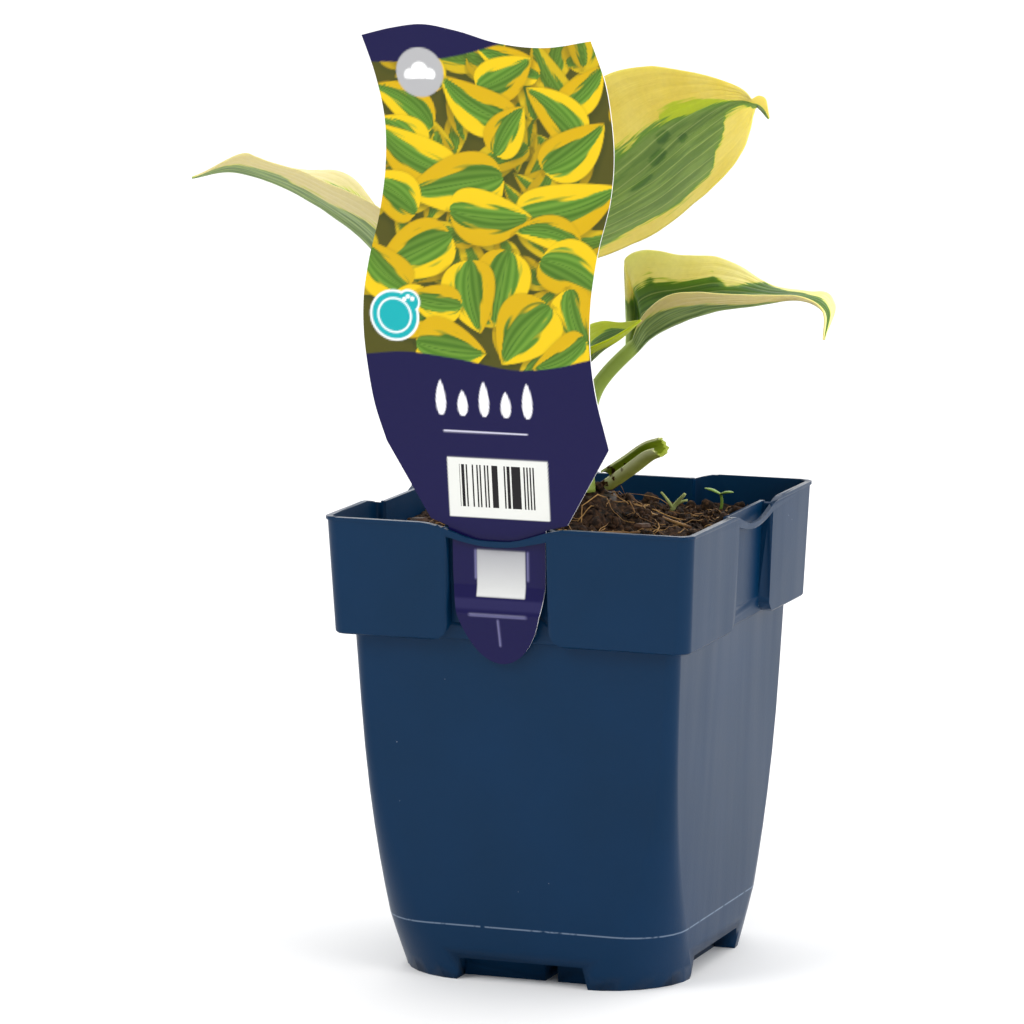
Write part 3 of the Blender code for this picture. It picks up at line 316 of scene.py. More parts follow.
def base_height(x, y):
    """The medium's gentle height: level at the walls, and a mound round the crown a little over the CAD's."""
    away = math.hypot(x - CROWN[0], y - CROWN[1])
    mound = MOUND_RISE * math.exp(-((away / MOUND_SPREAD) ** 2))
    away = math.hypot(x - HOLLOW[0], y - HOLLOW[1])
    hollow = HOLLOW_DEPTH * math.exp(-((away / HOLLOW_SPREAD) ** 2))
    lump = noise.noise(Vector((x, y, 0)) / 9.0) + 0.5 * noise.noise(Vector((x, y, 40)) / 4.5)
    edge = float(smooth((50.0 - max(abs(x), abs(y))) / 8.0))
    return SOIL_LEVEL + mound - hollow + LUMP_RISE * lump * (0.4 + 0.6 * edge)


def medium_height(x, y):
    """The height of the medium with its clods: domes of 6.5, 3.1 and 1.5 mm on the gentle base."""
    height = base_height(x, y)
    for size, rise, layer in CLODS:
        near, next_near = noise.voronoi(Vector((x, y, layer)) / size)[0][:2]
        height += rise * (min(next_near - near, 0.55) - 0.25)
    height += GRAIN_RISE * noise.fractal(Vector((x, y, 3.0)) / GRAIN_SIZE, 0.9, 2.0, 3)
    return height


def square_ring(half, radius, steps):
    """Points round a square with rounded corners, in millimetres."""
    reach = half - radius
    ring = []
    for quarter in range(4):
        cos, sin = ((1, 0), (0, 1), (-1, 0), (0, -1))[quarter]
        corner = []
        for i in range(CORNER_STEPS + 1):
            a = math.pi / 2 * i / CORNER_STEPS
            corner.append((reach + radius * math.cos(a), reach + radius * math.sin(a)))
        for i in range(1, steps):
            corner.append((reach - 2 * reach * i / steps, half))
        ring.extend((x * cos - y * sin, x * sin + y * cos) for x, y in corner)
    return np.array(ring)


def clear_of_pockets(ring, limit):
    """Draws a ring in where the label pockets stand into the pot."""
    low, high = POCKET[0] - WALL - GAP, POCKET[1] + WALL + GAP
    out = ring.copy()
    for k, (x, y) in enumerate(ring):
        if low - 5 < x < high + 5 and y < 0 or low - 5 < -x < high + 5 and y > 0:
            out[k, 1] = math.copysign(min(abs(y), limit), y)
        if low - 5 < -y < high + 5 and x > 0 or low - 5 < y < high + 5 and x < 0:
            out[k, 0] = math.copysign(min(abs(x), limit), x)
    return out


def medium_mesh():
    """A closed block of the medium: its sides follow the pot's walls and its top is all clods."""
    inset = WALL + GAP
    levels = []
    for z in (MEDIUM_FLOOR, WELD_HEIGHT, 24.0, 33.0, 43.0, 54.0, 66.0, 80.0, COLLAR_FOOT + inset):
        if z <= WELD_HEIGHT:
            half = FOOT_HALF + (WELD_HALF - FOOT_HALF) * z / WELD_HEIGHT
        else:
            half = WELD_HALF + (BODY_TOP_HALF - WELD_HALF) * (z - WELD_HEIGHT) / (COLLAR_FOOT - WELD_HEIGHT)
        radius = 3.8 + 20.5 * max(0.0, 1 - z / 80.0) ** 2.2
        levels.append((square_ring(min(half, BODY_TOP_HALF) - inset, radius - inset, SIDE_STEPS), z))
    for z in (COLLAR_FOOT + inset, 112.0, 121.0):
        rise = (z - COLLAR_FOOT) / (RIM_HEIGHT - COLLAR_FOOT)
        half = COLLAR_FOOT_HALF + (COLLAR_TOP_HALF - COLLAR_FOOT_HALF) * rise
        ring = square_ring(half - inset, COLLAR_RADIUS - inset, SIDE_STEPS)
        levels.append((clear_of_pockets(ring, half - POCKET_DEPTH - inset), z))
    edge = levels[-1][0]
    points = [(x, y, z) for ring, z in levels for x, y in ring]
    for k in range(RINGS):
        scale = 1 - k / RINGS
        points.extend((x * scale, y * scale, medium_height(x * scale, y * scale)) for x, y in edge)
    count = len(edge)
    rows = len(points) // count
    at = np.arange(rows * count).reshape(rows, count)
    after = np.roll(at, -1, axis=1)
    quads = np.stack([at[:-1].ravel(), after[:-1].ravel(), after[1:].ravel(), at[1:].ravel()], 1)
    faces = [tuple(f) for f in quads.tolist()]
    points.append((0.0, 0.0, medium_height(0.0, 0.0)))
    faces.extend((int(a), int(b), len(points) - 1) for a, b in zip(at[-1], after[-1]))
    faces.append(tuple(int(i) for i in reversed(at[0])))
    return points, faces


def medium_material():
    """Peat: damp, matt and crumbly, nearly black in the hollows and red-brown on the dry crumbs."""
    mat, tree, shader, place = new_material("damp_peat", 0.93)
    shader.inputs["Specular IOR Level"].default_value = 0.25
    patch = add(tree, NOISE, {"Vector": place, "Scale": 130.0, "Detail": 5.0}).outputs["Fac"]
    crumb = add(tree, NOISE, {"Vector": place, "Scale": 900.0, "Detail": 4.0}).outputs["Fac"]
    damp = add(tree, RANGE, {"Value": patch, "From Min": 0.38, "From Max": 0.66}).outputs[0]
    dry = add(tree, RANGE, {"Value": crumb, "From Min": 0.45, "From Max": 0.7}).outputs[0]
    shade = add(tree, MIX, {0: damp, 6: rgba("0c0805"), 7: rgba("2d1d14")}, data_type="RGBA").outputs[2]
    shade = add(tree, MIX, {0: dry, 6: shade, 7: rgba("503723")}, data_type="RGBA").outputs[2]
    tree.links.new(shade, shader.inputs["Base Color"])
    relief = add(tree, "ShaderNodeBump", {"Height": crumb, "Strength": 0.7, "Distance": 0.0006}).outputs[0]
    tree.links.new(relief, shader.inputs["Normal"])
    return mat


def straw_material(name="dry_coir", dark="6b4826", pale="b3884c"):
    """Coir and straw: dry, split lengthwise, from tan to golden brown."""
    mat, tree, shader, place = new_material(name, 0.7)
    tone = add(tree, NOISE, {"Vector": place, "Scale": 160.0, "Detail": 3.0}).outputs["Fac"]
    tone = add(tree, RANGE, {"Value": tone, "From Min": 0.35, "From Max": 0.65}).outputs[0]
    shade = add(tree, MIX, {0: tone, 6: rgba(dark), 7: rgba(pale)}, data_type="RGBA").outputs[2]
    tree.links.new(shade, shader.inputs["Base Color"])
    return mat


def inside_pot(x, y, margin):
    return max(abs(x), abs(y)) < 49.0 - margin


def crumbs_mesh(rng, count, sizes, facets):
    """Loose crumbs that lie on the clods, each a dented lump."""
    lump = bmesh.new()
    bmesh.ops.create_icosphere(lump, subdivisions=facets, radius=1.0)
    shape = np.array([v.co for v in lump.verts])
    faces = [tuple(v.index for v in f.verts) for f in lump.faces]
    lump.free()
    parts = []
    while len(parts) < count:
        x, y = rng.uniform(-48, 48, 2)
        size = rng.uniform(*sizes)
        if not inside_pot(x, y, size):
            continue
        stretch = rng.uniform(0.6, 1.25, 3) * size
        dents = 1 + 0.22 * np.sin(shape @ rng.uniform(-4, 4, 3) + rng.uniform(0, 6))
        turn = np.array(Matrix.Rotation(rng.uniform(0, 6.28), 3, Vector(rng.uniform(-1, 1, 3)).normalized()))
        points = (shape * dents[:, None] * stretch) @ turn.T
        top = medium_height(x, y)
        parts.append((points + np.array([x, y, top + 0.35 * size]), faces))
    return joined(parts)


def fibres_mesh(rng, count):
    """Coir fibres that curl over the medium, with their ends tucked in."""
    parts = []
    while len(parts) < count:
        x, y = rng.uniform(-47, 47, 2)
        length = rng.choice([rng.uniform(4, 9), rng.uniform(9, 20)])
        turn = rng.uniform(0, 2 * math.pi)
        curl = rng.uniform(-1.2, 1.2)
        steps = 8
        place = np.array([x, y])
        spots = [place]
        for i in range(steps):
            a = turn + curl * i / steps + rng.uniform(-0.2, 0.2)
            place = place + length / steps * np.array([math.cos(a), math.sin(a)])
            spots.append(place)
        if not all(inside_pot(px, py, 0.5) for px, py in spots):
            continue
        ground = np.array([medium_height(px, py) for px, py in spots])
        bridge = np.convolve(np.pad(ground, 1, mode="edge"), [0.25, 0.5, 0.25], mode="valid")
        lift = rng.uniform(0.1, 1.4) * np.sin(np.pi * np.arange(steps + 1) / steps)
        if rng.random() < 0.12:
            lift = lift + rng.uniform(1.5, 4.5) * (np.arange(steps + 1) / steps) ** 1.6
        radius = rng.uniform(0.10, 0.24)
        path = np.column_stack([np.array(spots), np.maximum(bridge, ground) + lift])
        parts.append(tube(path, radius * np.linspace(1.0, 0.6, steps + 1), 4))
    return joined(parts)


# ---------------------------------------------------------------- leaves

STALK_ROWS = 44
BLADE_ROWS = 150
BLADE_COLUMNS = 40
CHANNEL_ROLL = math.radians(115)
BLADE_OPENS = 0.10
STALK_FADES = 0.035  # share of the blade over which the stalk's own green ends
VEINS, VEIN_SLANT = 6.5, 1.3  # veins from the midrib to the margin, and how many of them a row crosses over
RIPPLE = 0.12
NO_LIME, ALL_LIME = [(0, -1), (1, -1)], [(0, 2), (1, 2)]


def half_blade(width, sweep, fold, cup, green):
    return {"width": width, "sweep": sweep, "fold": fold, "cup": cup, "green": green}


# Each leaf: the line of its stalk and midrib. Then, for each half from the base of the blade (0) to its tip
# (1): its width in mm, how far its margin is swept towards the tip in mm, its fold in degrees, its cup in
# degrees, and how far the green heart reaches from the midrib (0) to the margin (1). Then how far the lime
# reaches on the two halves, and the spots where the bloom is rubbed off: place along the blade, place across
# it, length and width.
# A leaf's "light" value is painted light: it scales the margin colour on the leaf's upper side, above 1 to
# brighten the leaf and below 1 to dim it, in place of the light that falls on it.
LEAVES = {
    "leaf_upper_right": {
        "stalk": [(-3.5, 15.5, 133.6), (-8.0, 17.5, 150.0), (-19.0, 21.0, 178.0)],
        "midrib": [
            (-29.5, 24, 204.5),
            (-4.0, 20, 213.0),
            (17.0, 13, 225.0),
            (34.0, 5, 238.0),
            (49.0, -3, 247.4),
            (56.3, -6, 248.2),
            (61.8, -9, 244.6),
        ],
        "up": [(-0.21, -0.82, 0.53), (0.30, -0.78, 0.3)],
        "left": half_blade(
            [(0, 2), (0.05, 9), (0.1, 14.5), (0.15, 20), (0.2, 25), (0.25, 28.8), (0.3, 30.7)]
            + [(0.35, 31.1), (0.4, 30), (0.5, 22.8), (0.6, 14.3), (0.69, 6.6), (0.77, 2.8), (0.835, 1.3)]
            + [(0.9, 2.4), (0.95, 2.8), (1, 0.2)],
            [(0, 0), (0.08, -7), (0.15, -12), (0.22, -13), (0.3, -9), (0.36, -5), (0.42, -1)]
            + [(0.6, -1.7), (0.835, -1.5), (0.91, -3.4), (0.95, -3.1), (1, 0)],
            [(0, 18), (0.5, 16), (0.8, 14), (1, 10)],
            10,
            [(0, 0.35), (0.2, 0.38), (0.29, 0.37), (0.33, 0.33), (0.43, 0.33), (0.46, 0.32), (0.5, 0.28)]
            + [(0.57, 0.25), (0.67, 0.2), (0.74, 0.1), (0.8, 0.06), (0.86, 0.25), (1, 0.2)],
        ),
        "right": half_blade(
            [(0, 2), (0.04, 8), (0.08, 13.5), (0.13, 19), (0.18, 22.6), (0.24, 25.2), (0.34, 26.6)]
            + [(0.44, 26.8), (0.52, 27.2), (0.6, 24.8), (0.68, 19.6), (0.73, 14.8), (0.77, 8.8)]
            + [(0.81, 3.8), (0.85, 1), (1, 0.2)],
            [(0, 0), (0.15, -0.5), (0.24, 1), (0.4, 0.8), (0.5, 4.6), (0.58, 8), (0.68, 9), (0.74, 8.4)]
            + [(0.77, 7), (0.81, 3.8), (0.86, 0.4), (1, 0)],
            [(0, 18), (0.5, 16), (0.8, 14), (1, 10)],
            12,
            [(0, 0.9), (0.24, 0.85), (0.27, 0.78), (0.32, 0.77), (0.37, 0.73), (0.42, 0.8), (0.45, 0.83)]
            + [(0.5, 0.8), (0.55, 0.77), (0.565, 0.66), (0.57, 0.52), (0.59, 0.45), (0.61, 0.33)]
            + [(0.62, 0.2), (0.63, 0.12), (0.66, 0.13), (0.74, 0.14), (0.8, 0.25), (0.85, 1), (1, 1)],
        ),
        "lime": (
            [(0, 0), (0.43, 0), (0.45, 0.36), (0.5, 0.42), (0.56, 0.4), (0.6, 0.34), (0.64, 0.24)]
            + [(0.7, 0)],
            NO_LIME,
        ),
        "rubbed": [(0.43, -0.18, 2.9, 1.8), (0.475, -0.03, 1.9, 1.6), (0.39, -0.05, 3.8, 2.0)]
        + [(0.33, 0.1, 5.0, 1.8)],
        "stalk_width": (3.9, 3.2),
        "stalk_up": (0.3, -0.9, 0.2),
        "bloom": 0.8,
        "pale": 0.0,
        "light": 0.95,
        "seed": 3.0,
    },
    "leaf_lower_right": {
        "stalk": [(2.2, 8.5, 133.8), (1.5, 9.0, 148.0), (4.5, 9.0, 163.0)],
        "midrib": [
            (15.1, 8, 174.9),
            (25.0, 6, 182.2),
            (40.0, 2, 188.3),
            (56.0, -3, 191.7),
            (70.0, -7, 194.2),
            (78.1, -9, 191.1),
            (78.7, -11, 183.3),
        ],
        "up": [(-0.45, -0.1, 0.85), (0.9, -0.1, 0.45)],
        "left": half_blade(
            [(0, 7), (0.03, 19), (0.06, 24.8), (0.1, 26.8), (0.14, 26.2), (0.18, 24.2), (0.23, 21.4)]
            + [(0.29, 19.9), (0.35, 19.4), (0.41, 17.6), (0.465, 15.1), (0.52, 12), (0.58, 8.4)]
            + [(0.64, 6), (0.71, 5.6), (0.76, 7.9), (0.8, 8.4), (0.85, 5.9), (0.9, 3.3), (0.95, 1.5)]
            + [(1, 0.2)],
            [(0, 1), (0.03, 4), (0.1, 2), (0.18, 1.2), (0.29, -1.4), (0.41, -6.8), (0.47, -6.9)]
            + [(0.58, -4.9), (0.71, -2.2), (0.8, -3.7), (0.9, -2.2), (1, 0)],
            [(0, 60), (0.2, 55), (0.4, 40), (0.6, 25), (0.8, 10), (1, 0)],
            0,
            [(0, 0.85), (0.03, 0.83), (0.06, 0.65), (0.12, 0.6), (0.15, 0.66), (0.165, 0.6)]
            + [(0.29, 0.58), (0.33, 0.58), (0.35, 0.64), (0.37, 0.54), (0.4, 0.45), (0.44, 0.5)]
            + [(0.5, 0.72), (0.54, 0.95), (0.57, 0.9), (0.62, 0.7), (0.68, 0.67), (0.74, 0.5)]
            + [(0.8, 0.4), (0.92, 0.4), (1, 0.6)],
        ),
        "right": half_blade(
            [(0, 1.8), (0.04, 4.3), (0.1, 8), (0.14, 10), (0.19, 12), (0.25, 12.6), (0.31, 11.4)]
            + [(0.385, 9.4), (0.46, 7.3), (0.535, 4.8), (0.605, 2.7), (0.7, 2.4), (0.85, 2), (1, 0.2)],
            [(0, 1.4), (0.04, 2.7), (0.1, 5.2), (0.14, 7.1), (0.2, 8.8), (0.25, 8.7), (0.31, 7.4)]
            + [(0.46, 4.1), (0.6, 1.2), (0.7, 1), (1, 0)],
            [(0, 50), (0.2, 42), (0.4, 34), (0.7, 24), (1, 20)],
            0,
            [(0, 1), (0.06, 0.93), (0.09, 0.8), (0.15, 0.7), (0.2, 0.6), (0.27, 0.48), (0.36, 0.38)]
            + [(0.44, 0.2), (0.53, 0.14), (0.62, 0), (1, 0)],
        ),
        "lime": (NO_LIME, NO_LIME),
        "rubbed": [],
        "stalk_width": (4.4, 3.6),
        "stalk_up": (-0.85, -0.5, 0.2),
        "bloom": 0.1,
        "pale": 0.7,
        "light": 1.3,
        "seed": 11.0,
    },
    "leaf_left": {
        "stalk": [(-7.0, 8.0, 133.9), (-18.0, 6.0, 150.0), (-36.0, 3.0, 172.0)],
        "midrib": [
            (-51.3, 0, 191.0),
            (-60.2, -4, 204.1),
            (-69.5, -9, 212.9),
            (-82.0, -16, 221.5),
            (-95.0, -22, 226.0),
            (-106.6, -26, 224.0),
        ],
        "up": [(0.6, 0.0, 0.75), (-0.1, 0.0, 0.95)],
        "left": half_blade(
            [(0, 2), (0.05, 9), (0.12, 14.5), (0.2, 17.5), (0.3, 18.2), (0.42, 16.8), (0.48, 15)]
            + [(0.6, 13), (0.66, 11.3), (0.72, 10.2), (0.77, 10.2), (0.81, 10.3), (0.85, 8), (0.89, 5.1)]
            + [(0.93, 2.8), (1, 0.2)],
            [(0, 0), (0.3, 0), (0.42, 1.6), (0.54, 0.9), (0.66, -1.6), (0.77, -3.4), (0.85, -5.4)]
            + [(0.93, -3.2), (1, 0)],
            [(0, 54), (0.3, 44), (0.45, 38), (0.6, 36), (1, 38)],
            0,
            [(0, 0.6), (0.26, 0.48), (0.35, 0.43), (0.39, 0.36), (0.44, 0.29), (0.49, 0.33)]
            + [(0.54, 0.36), (0.58, 0.32), (0.64, 0.48), (0.7, 0.5), (0.76, 0.43), (0.84, 0.34)]
            + [(0.9, 0.5), (1, 1)],
        ),
        "right": half_blade(
            [(0, 2), (0.06, 8), (0.15, 11.5), (0.25, 13.3), (0.36, 17.5), (0.48, 22.6), (0.54, 23)]
            + [(0.6, 20.6), (0.66, 17.5), (0.8, 9), (0.9, 4), (1, 0.2)],
            [(0, 0), (0.25, -1.4), (0.36, -3.3), (0.48, -6.3), (0.6, -9.2), (0.68, -9), (0.85, -3.5)]
            + [(1, 0)],
            [(0, 36), (0.25, 26), (0.45, 22), (0.6, 14), (1, 12)],
            0,
            [(0, 0.9), (0.3, 0.85), (0.36, 0.78), (0.42, 0.68), (0.55, 0.45), (0.8, 0.3), (1, 0.3)],
        ),
        "lime": (NO_LIME, NO_LIME),
        "rubbed": [],
        "stalk_width": (3.8, 3.1),
        "stalk_up": (0.8, 0.0, 0.5),
        "bloom": 0.5,
        "pale": 1.0,
        "light": 0.93,
        "seed": 23.0,
    },
    "leaf_small": {
        "stalk": [(0.2, 4.4, 133.8), (-3.6, 3.0, 144.0), (-6.6, 1.0, 155.0)],
        "midrib": [
            (-3.5, -1, 165.8),
            (5.8, -4, 173.1),
            (11.8, -7, 177.6),
            (17.9, -9, 181.4),
            (24.7, -11, 186.8),
        ],
        "up": [(-0.6, -0.3, 0.7), (-0.5, -0.3, 0.75)],
        "left": half_blade(
            [(0, 2), (0.06, 6.2), (0.18, 9.4), (0.32, 10), (0.5, 8.8), (0.7, 6), (0.87, 2.8), (1, 0.2)],
            [(0, 0), (1, 0)],
            [(0, 45), (1, 35)],
            0,
            [(0, 0.4), (0.36, 0.42), (0.49, 0.52), (0.66, 0.66), (0.75, 0.6), (0.85, 0.3), (1, 0)],
        ),
        "right": half_blade(
            [(0, 2), (0.06, 5), (0.18, 7.5), (0.32, 8), (0.5, 7), (0.7, 4.8), (0.87, 2.2), (1, 0.2)],
            [(0, 0), (1, 0)],
            [(0, 38), (1, 30)],
            0,
            [(0, 0.5), (0.45, 0.3), (0.7, 0), (1, 0)],
        ),
        "lime": (ALL_LIME, ALL_LIME),
        "rubbed": [],
        "stalk_width": (2.9, 2.4),
        "stalk_up": (-0.2, -0.9, 0.3),
        "bloom": 0.0,
        "pale": 0.0,
        "light": 1.0,
        "seed": 37.0,
    },
}


def leaf_surface(leaf):
    """The middle surface of a leaf, from the foot of its stalk to its tip, and where each row lies."""
    axis = leaf["stalk"] + leaf["midrib"]
    neck = len(leaf["stalk"]) / (len(axis) - 1)
    blade = np.concatenate([np.zeros(STALK_ROWS), 0.004 + 0.992 * np.arange(BLADE_ROWS + 1) / BLADE_ROWS])
    t = np.where(blade > 0, neck + (1 - neck) * blade, 0.0)
    t[:STALK_ROWS] = neck * np.arange(STALK_ROWS) / STALK_ROWS
    along = directions(axis, t)
    base, tip = (unit(np.array(v, float)) for v in leaf["up"])
    foot = unit(np.array(leaf["stalk_up"], float))
    on_stalk = smooth(t / neck)[:, None]
    on_blade = ((t - neck) / (1 - neck))[:, None]
    up = np.where((t < neck)[:, None], foot + (base - foot) * on_stalk, base + (tip - base) * on_blade)
    up = unit(up - (up * along).sum(1, keepdims=True) * along)
    right = np.cross(along, up)
    thick, thin = leaf["stalk_width"]
    stalk_width = thick + (thin - thick) * smooth(t / neck)
    spread = smooth(blade / BLADE_OPENS)
    middle = spline(axis, t)
    surface = np.zeros((len(t), 2 * BLADE_COLUMNS + 1, 3))
    surface[:, BLADE_COLUMNS] = middle
    reach = []
    for sign, half in ((-1, leaf["left"]), (1, leaf["right"])):
        width = np.maximum(stalk_width * (1 - spread), flowing(half["width"], blade))
        width = np.where(t < neck, stalk_width, width)
        sweep = np.where(t < neck, 0.0, flowing(half["sweep"], blade))
        fold = np.radians(flowing(half["fold"], blade))
        reach.append(width)
        cup = math.radians(half["cup"])
        place = middle.copy()
        for j in range(1, BLADE_COLUMNS + 1):
            share = (j - 0.5) / BLADE_COLUMNS
            angle = (fold + cup * share) * spread + CHANNEL_ROLL * share * (1 - spread)
            step = (width / BLADE_COLUMNS)[:, None]
            place = place + step * (sign * np.cos(angle)[:, None] * right + np.sin(angle)[:, None] * up)
            place = place + (sweep / BLADE_COLUMNS)[:, None] * along
            surface[:, BLADE_COLUMNS + sign * j] = place
    return surface, blade, spread, np.maximum(*reach)


def leaf_mesh(leaf, settings):
    """A closed leaf with sunken veins, a puckered surface, a wavy margin and a ribbed underside."""
    surface, blade, spread, width = leaf_surface(leaf)
    rows, columns = surface.shape[:2]
    share = np.linspace(-1, 1, columns)[None, :] * np.ones((rows, 1))
    reach = np.abs(share)
    normal = unit(np.cross(np.gradient(surface, axis=1), np.gradient(surface, axis=0)))
    steps = np.linalg.norm(np.diff(surface[:, BLADE_COLUMNS], axis=0), axis=1)
    run = np.concatenate([[0.0], np.cumsum(steps)])
    along = run[:, None] * np.ones((1, columns))

    # Veins leave the midrib one after another and run almost parallel to the margin
    vein = VEINS * reach**0.9 - VEIN_SLANT * blade[:, None]
    groove = np.abs(vein - np.round(vein))
    open_blade = spread[:, None] * smooth(width / 15.0)[:, None]
    pucker = settings.vein_depth / MM * (smooth(groove / 0.28) - 0.6)
    pucker = pucker * open_blade * smooth((1.02 - reach) / 0.2)
    seed = leaf["seed"]
    ripple = np.array(
        [
            [noise.noise(Vector((s * 5.0 + seed, y / 5.5, seed))) for s, y in zip(share_row, along_row)]
            for share_row, along_row in zip(share, along)
        ]
    )
    wave = reach**3 * np.sin(along / 7.5 + 2.0 * share + seed) * RIPPLE * open_blade
    surface = surface + normal * (pucker + RIPPLE * ripple * open_blade + wave)[..., None]
    normal = unit(np.cross(np.gradient(surface, axis=1), np.gradient(surface, axis=0)))

    thickness = settings.thickness / MM
    half_thick = np.full((rows, columns), thickness / 2)
    half_thick *= 1.0 - 0.45 * smooth((reach - 0.9) / 0.1) * spread[:, None]
    stout = 1.0 + 0.9 * (1 - spread)[:, None] * (1 - reach**4)
    off = reach * np.maximum(width, 1.0)[:, None]
    rib = 0.95 * np.linspace(1.0, 0.0, rows)[:, None] * np.exp(-((off / 1.3) ** 2))
    valley = 0.2 * np.exp(-((off / 0.9) ** 2)) * spread[:, None]
    upper = surface + normal * (half_thick * stout - valley)[..., None]
    lower = surface - normal * (half_thick * stout + rib)[..., None]

    def on_halves(left, right):
        """The keys of each half of the blade, read off over that half."""
        return np.where(share < 0, lines(left, blade)[:, None], lines(right, blade)[:, None])

    green = on_halves(leaf["left"]["green"], leaf["right"]["green"])
    green_stalk = 1 - smooth(blade / STALK_FADES)[:, None]
    field = (green - reach) * (1 - green_stalk) + green_stalk * 0.5
    ones = np.ones((rows, columns))
    grain = np.stack([vein + 13 * (share > 0), along / 10.0, reach], -1).reshape(-1, 3)
    paint = []
    for under in (0.0, 1.0):
        paint.append(np.stack([field, under * ones, green_stalk * ones], -1).reshape(-1, 3))
    faces, _ = sheet_faces(rows, columns)
    points = np.concatenate([upper.reshape(-1, 3), lower.reshape(-1, 3)])
    bloom = leaf["bloom"] * ones
    for place, side, long, wide in leaf["rubbed"]:
        ahead = (along - np.interp(place, blade[STALK_ROWS:], run[STALK_ROWS:])) / long
        aside = (share - side) * width[:, None] / wide
        bloom = bloom * smooth((np.hypot(ahead, aside) - 0.85) / 0.3)
    lime = on_halves(*leaf["lime"]) - reach
    # The tone's fourth value is painted light: the upper side gets the leaf's "light" value, and the underside
    # gets 1, with no painted light.
    tone = np.stack([bloom, lime, leaf["pale"] * ones, leaf["light"] * ones], -1).reshape(-1, 4)
    low = tone * [1, 1, 1, 0] + [0, 0, 0, 1]
    return points, faces, {
        "paint": np.concatenate(paint),
        "grain": np.concatenate([grain, grain]),
        "tone": np.concatenate([tone, low]),
    }


